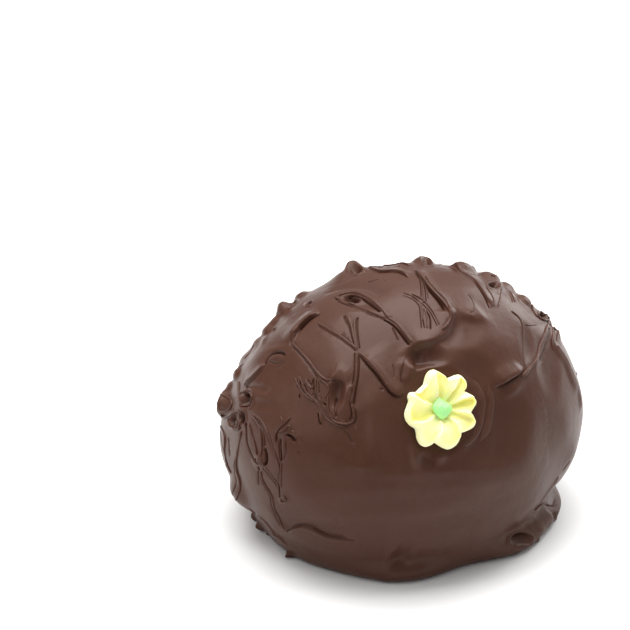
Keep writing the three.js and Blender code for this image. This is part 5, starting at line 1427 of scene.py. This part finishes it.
# %% Lay the floor
floor_mesh = bpy.data.meshes.new("floor")
floor_mesh.from_pydata([(-6, -6, 0), (6, -6, 0), (6, 6, 0), (-6, 6, 0)], [], [(0, 1, 2, 3)])
floor = show("floor", floor_mesh)
paper, tree, shader, _ = new_material("floor_paper")
set_sockets(shader, Base_Color=(0.85, 0.845, 0.84, 1), Roughness=0.85, Specular_IOR_Level=0.1)
floor.data.materials.append(paper)
print("floor is", floor.dimensions.x, "m wide")

# %% Hang the lights
def softbox(name, place, size, watts, aim=(0, 0, 0.03)):
    """An area light of a size in metres at a place, facing the aim."""
    light = bpy.data.lights.new(name, "AREA")
    light.shape, light.size, light.size_y, light.energy = "RECTANGLE", *size, watts
    way = unit(np.array(place) - np.array(aim))
    side = unit(np.cross([0, 0, 1.0001], way) + [1e-6, 0, 0])
    turn_and_place(show(name, light), side, np.cross(way, side), way, place)


softbox("overhead", (0.05, 0.35, 1.2), (1.4, 1.0), 29)
softbox("left", (-1.0, 0.0, 0.8), (1.2, 1.2), 5.2)
softbox("right", (1.05, 0.5, 0.5), (0.5, 0.7), 6.2)

# %% Light the surround
LEVEL_LIGHT, MORE_BEHIND, MORE_RIGHT, MORE_ABOVE = 0.33, 0.2, 0.15, 0.3
DARK_WAY, DARK_SHARE, DARK_POWER = (-0.6, 0.8, 0.0), 0.75, 6.0
BACKDROP, BACKDROP_LIGHT = (1, 1, 0.99, 1), 0.945
world = bpy.data.worlds.new("surround")
scene.world = world
world.use_nodes = True
tree = world.node_tree
lit = tree.nodes["Background"]
lit.inputs[0].default_value = (1, 1, 1, 1)
way = tree.nodes.new("ShaderNodeSeparateXYZ")
generated = tree.nodes.new("ShaderNodeTexCoord").outputs["Generated"]
tree.links.new(generated, way.inputs[0])
along_x = MORE_BEHIND * math.sin(TURN) + MORE_RIGHT * math.cos(TURN)
along_y = MORE_BEHIND * math.cos(TURN) - MORE_RIGHT * math.sin(TURN)
strength = maths(tree, "MULTIPLY_ADD", way.outputs["X"], along_x, LEVEL_LIGHT)
strength = maths(tree, "MULTIPLY_ADD", way.outputs["Y"], along_y, strength)
strength = maths(tree, "MULTIPLY_ADD", way.outputs["Z"], MORE_ABOVE, strength)
towards = tree.nodes.new("ShaderNodeVectorMath")
towards.operation = "DOT_PRODUCT"
towards.inputs[1].default_value = unit(np.array(DARK_WAY))
tree.links.new(generated, towards.inputs[0])
lobe = maths(tree, "POWER", maths(tree, "MAXIMUM", towards.outputs["Value"], 0.0), DARK_POWER)
kept = maths(tree, "MULTIPLY_ADD", lobe, -DARK_SHARE, 1.0)
tree.links.new(maths(tree, "MULTIPLY", strength, kept), lit.inputs[1])
backdrop = tree.nodes.new("ShaderNodeBackground")
set_sockets(backdrop, Color=BACKDROP, Strength=BACKDROP_LIGHT)
which = tree.nodes.new("ShaderNodeMixShader")
tree.links.new(tree.nodes.new("ShaderNodeLightPath").outputs["Is Camera Ray"], which.inputs[0])
tree.links.new(lit.outputs[0], which.inputs[1])
tree.links.new(backdrop.outputs[0], which.inputs[2])
tree.links.new(which.outputs[0], tree.nodes["World Output"].inputs[0])
scene.view_settings.view_transform = "Standard"
print("light from level", LEVEL_LIGHT, "along x and y", round(along_x, 3), round(along_y, 3))

# %% [markdown]
# ## Fit the pieces to the solids
# Each finished piece stands for its solid and moves with it; the egg and its threads together
# stand for one solid. The box of the finished pieces is written beside that of the solids, so that
# the two can be compared.

# %% Replace the solids
for piece, node, slot in (
    (egg, "chocolate_egg", "chocolate"),
    (threads, "chocolate_egg", "chocolate"),
    (flower, "icing_flower", "icing"),
    (centre, "flower_centre", "centre_icing"),
):
    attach(piece, "root")
    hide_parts(node)
    low, high = (np.array(corner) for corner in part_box(node))
    points = np.zeros(len(piece.data.vertices) * 3, np.float32)
    piece.data.vertices.foreach_get("co", points)
    points = points.reshape(-1, 3)
    grown = np.round(np.array([low - points.min(0), points.max(0) - high]) * 1000, 2)
    print(piece.name, "passes its solid by", grown.tolist(), "mm")
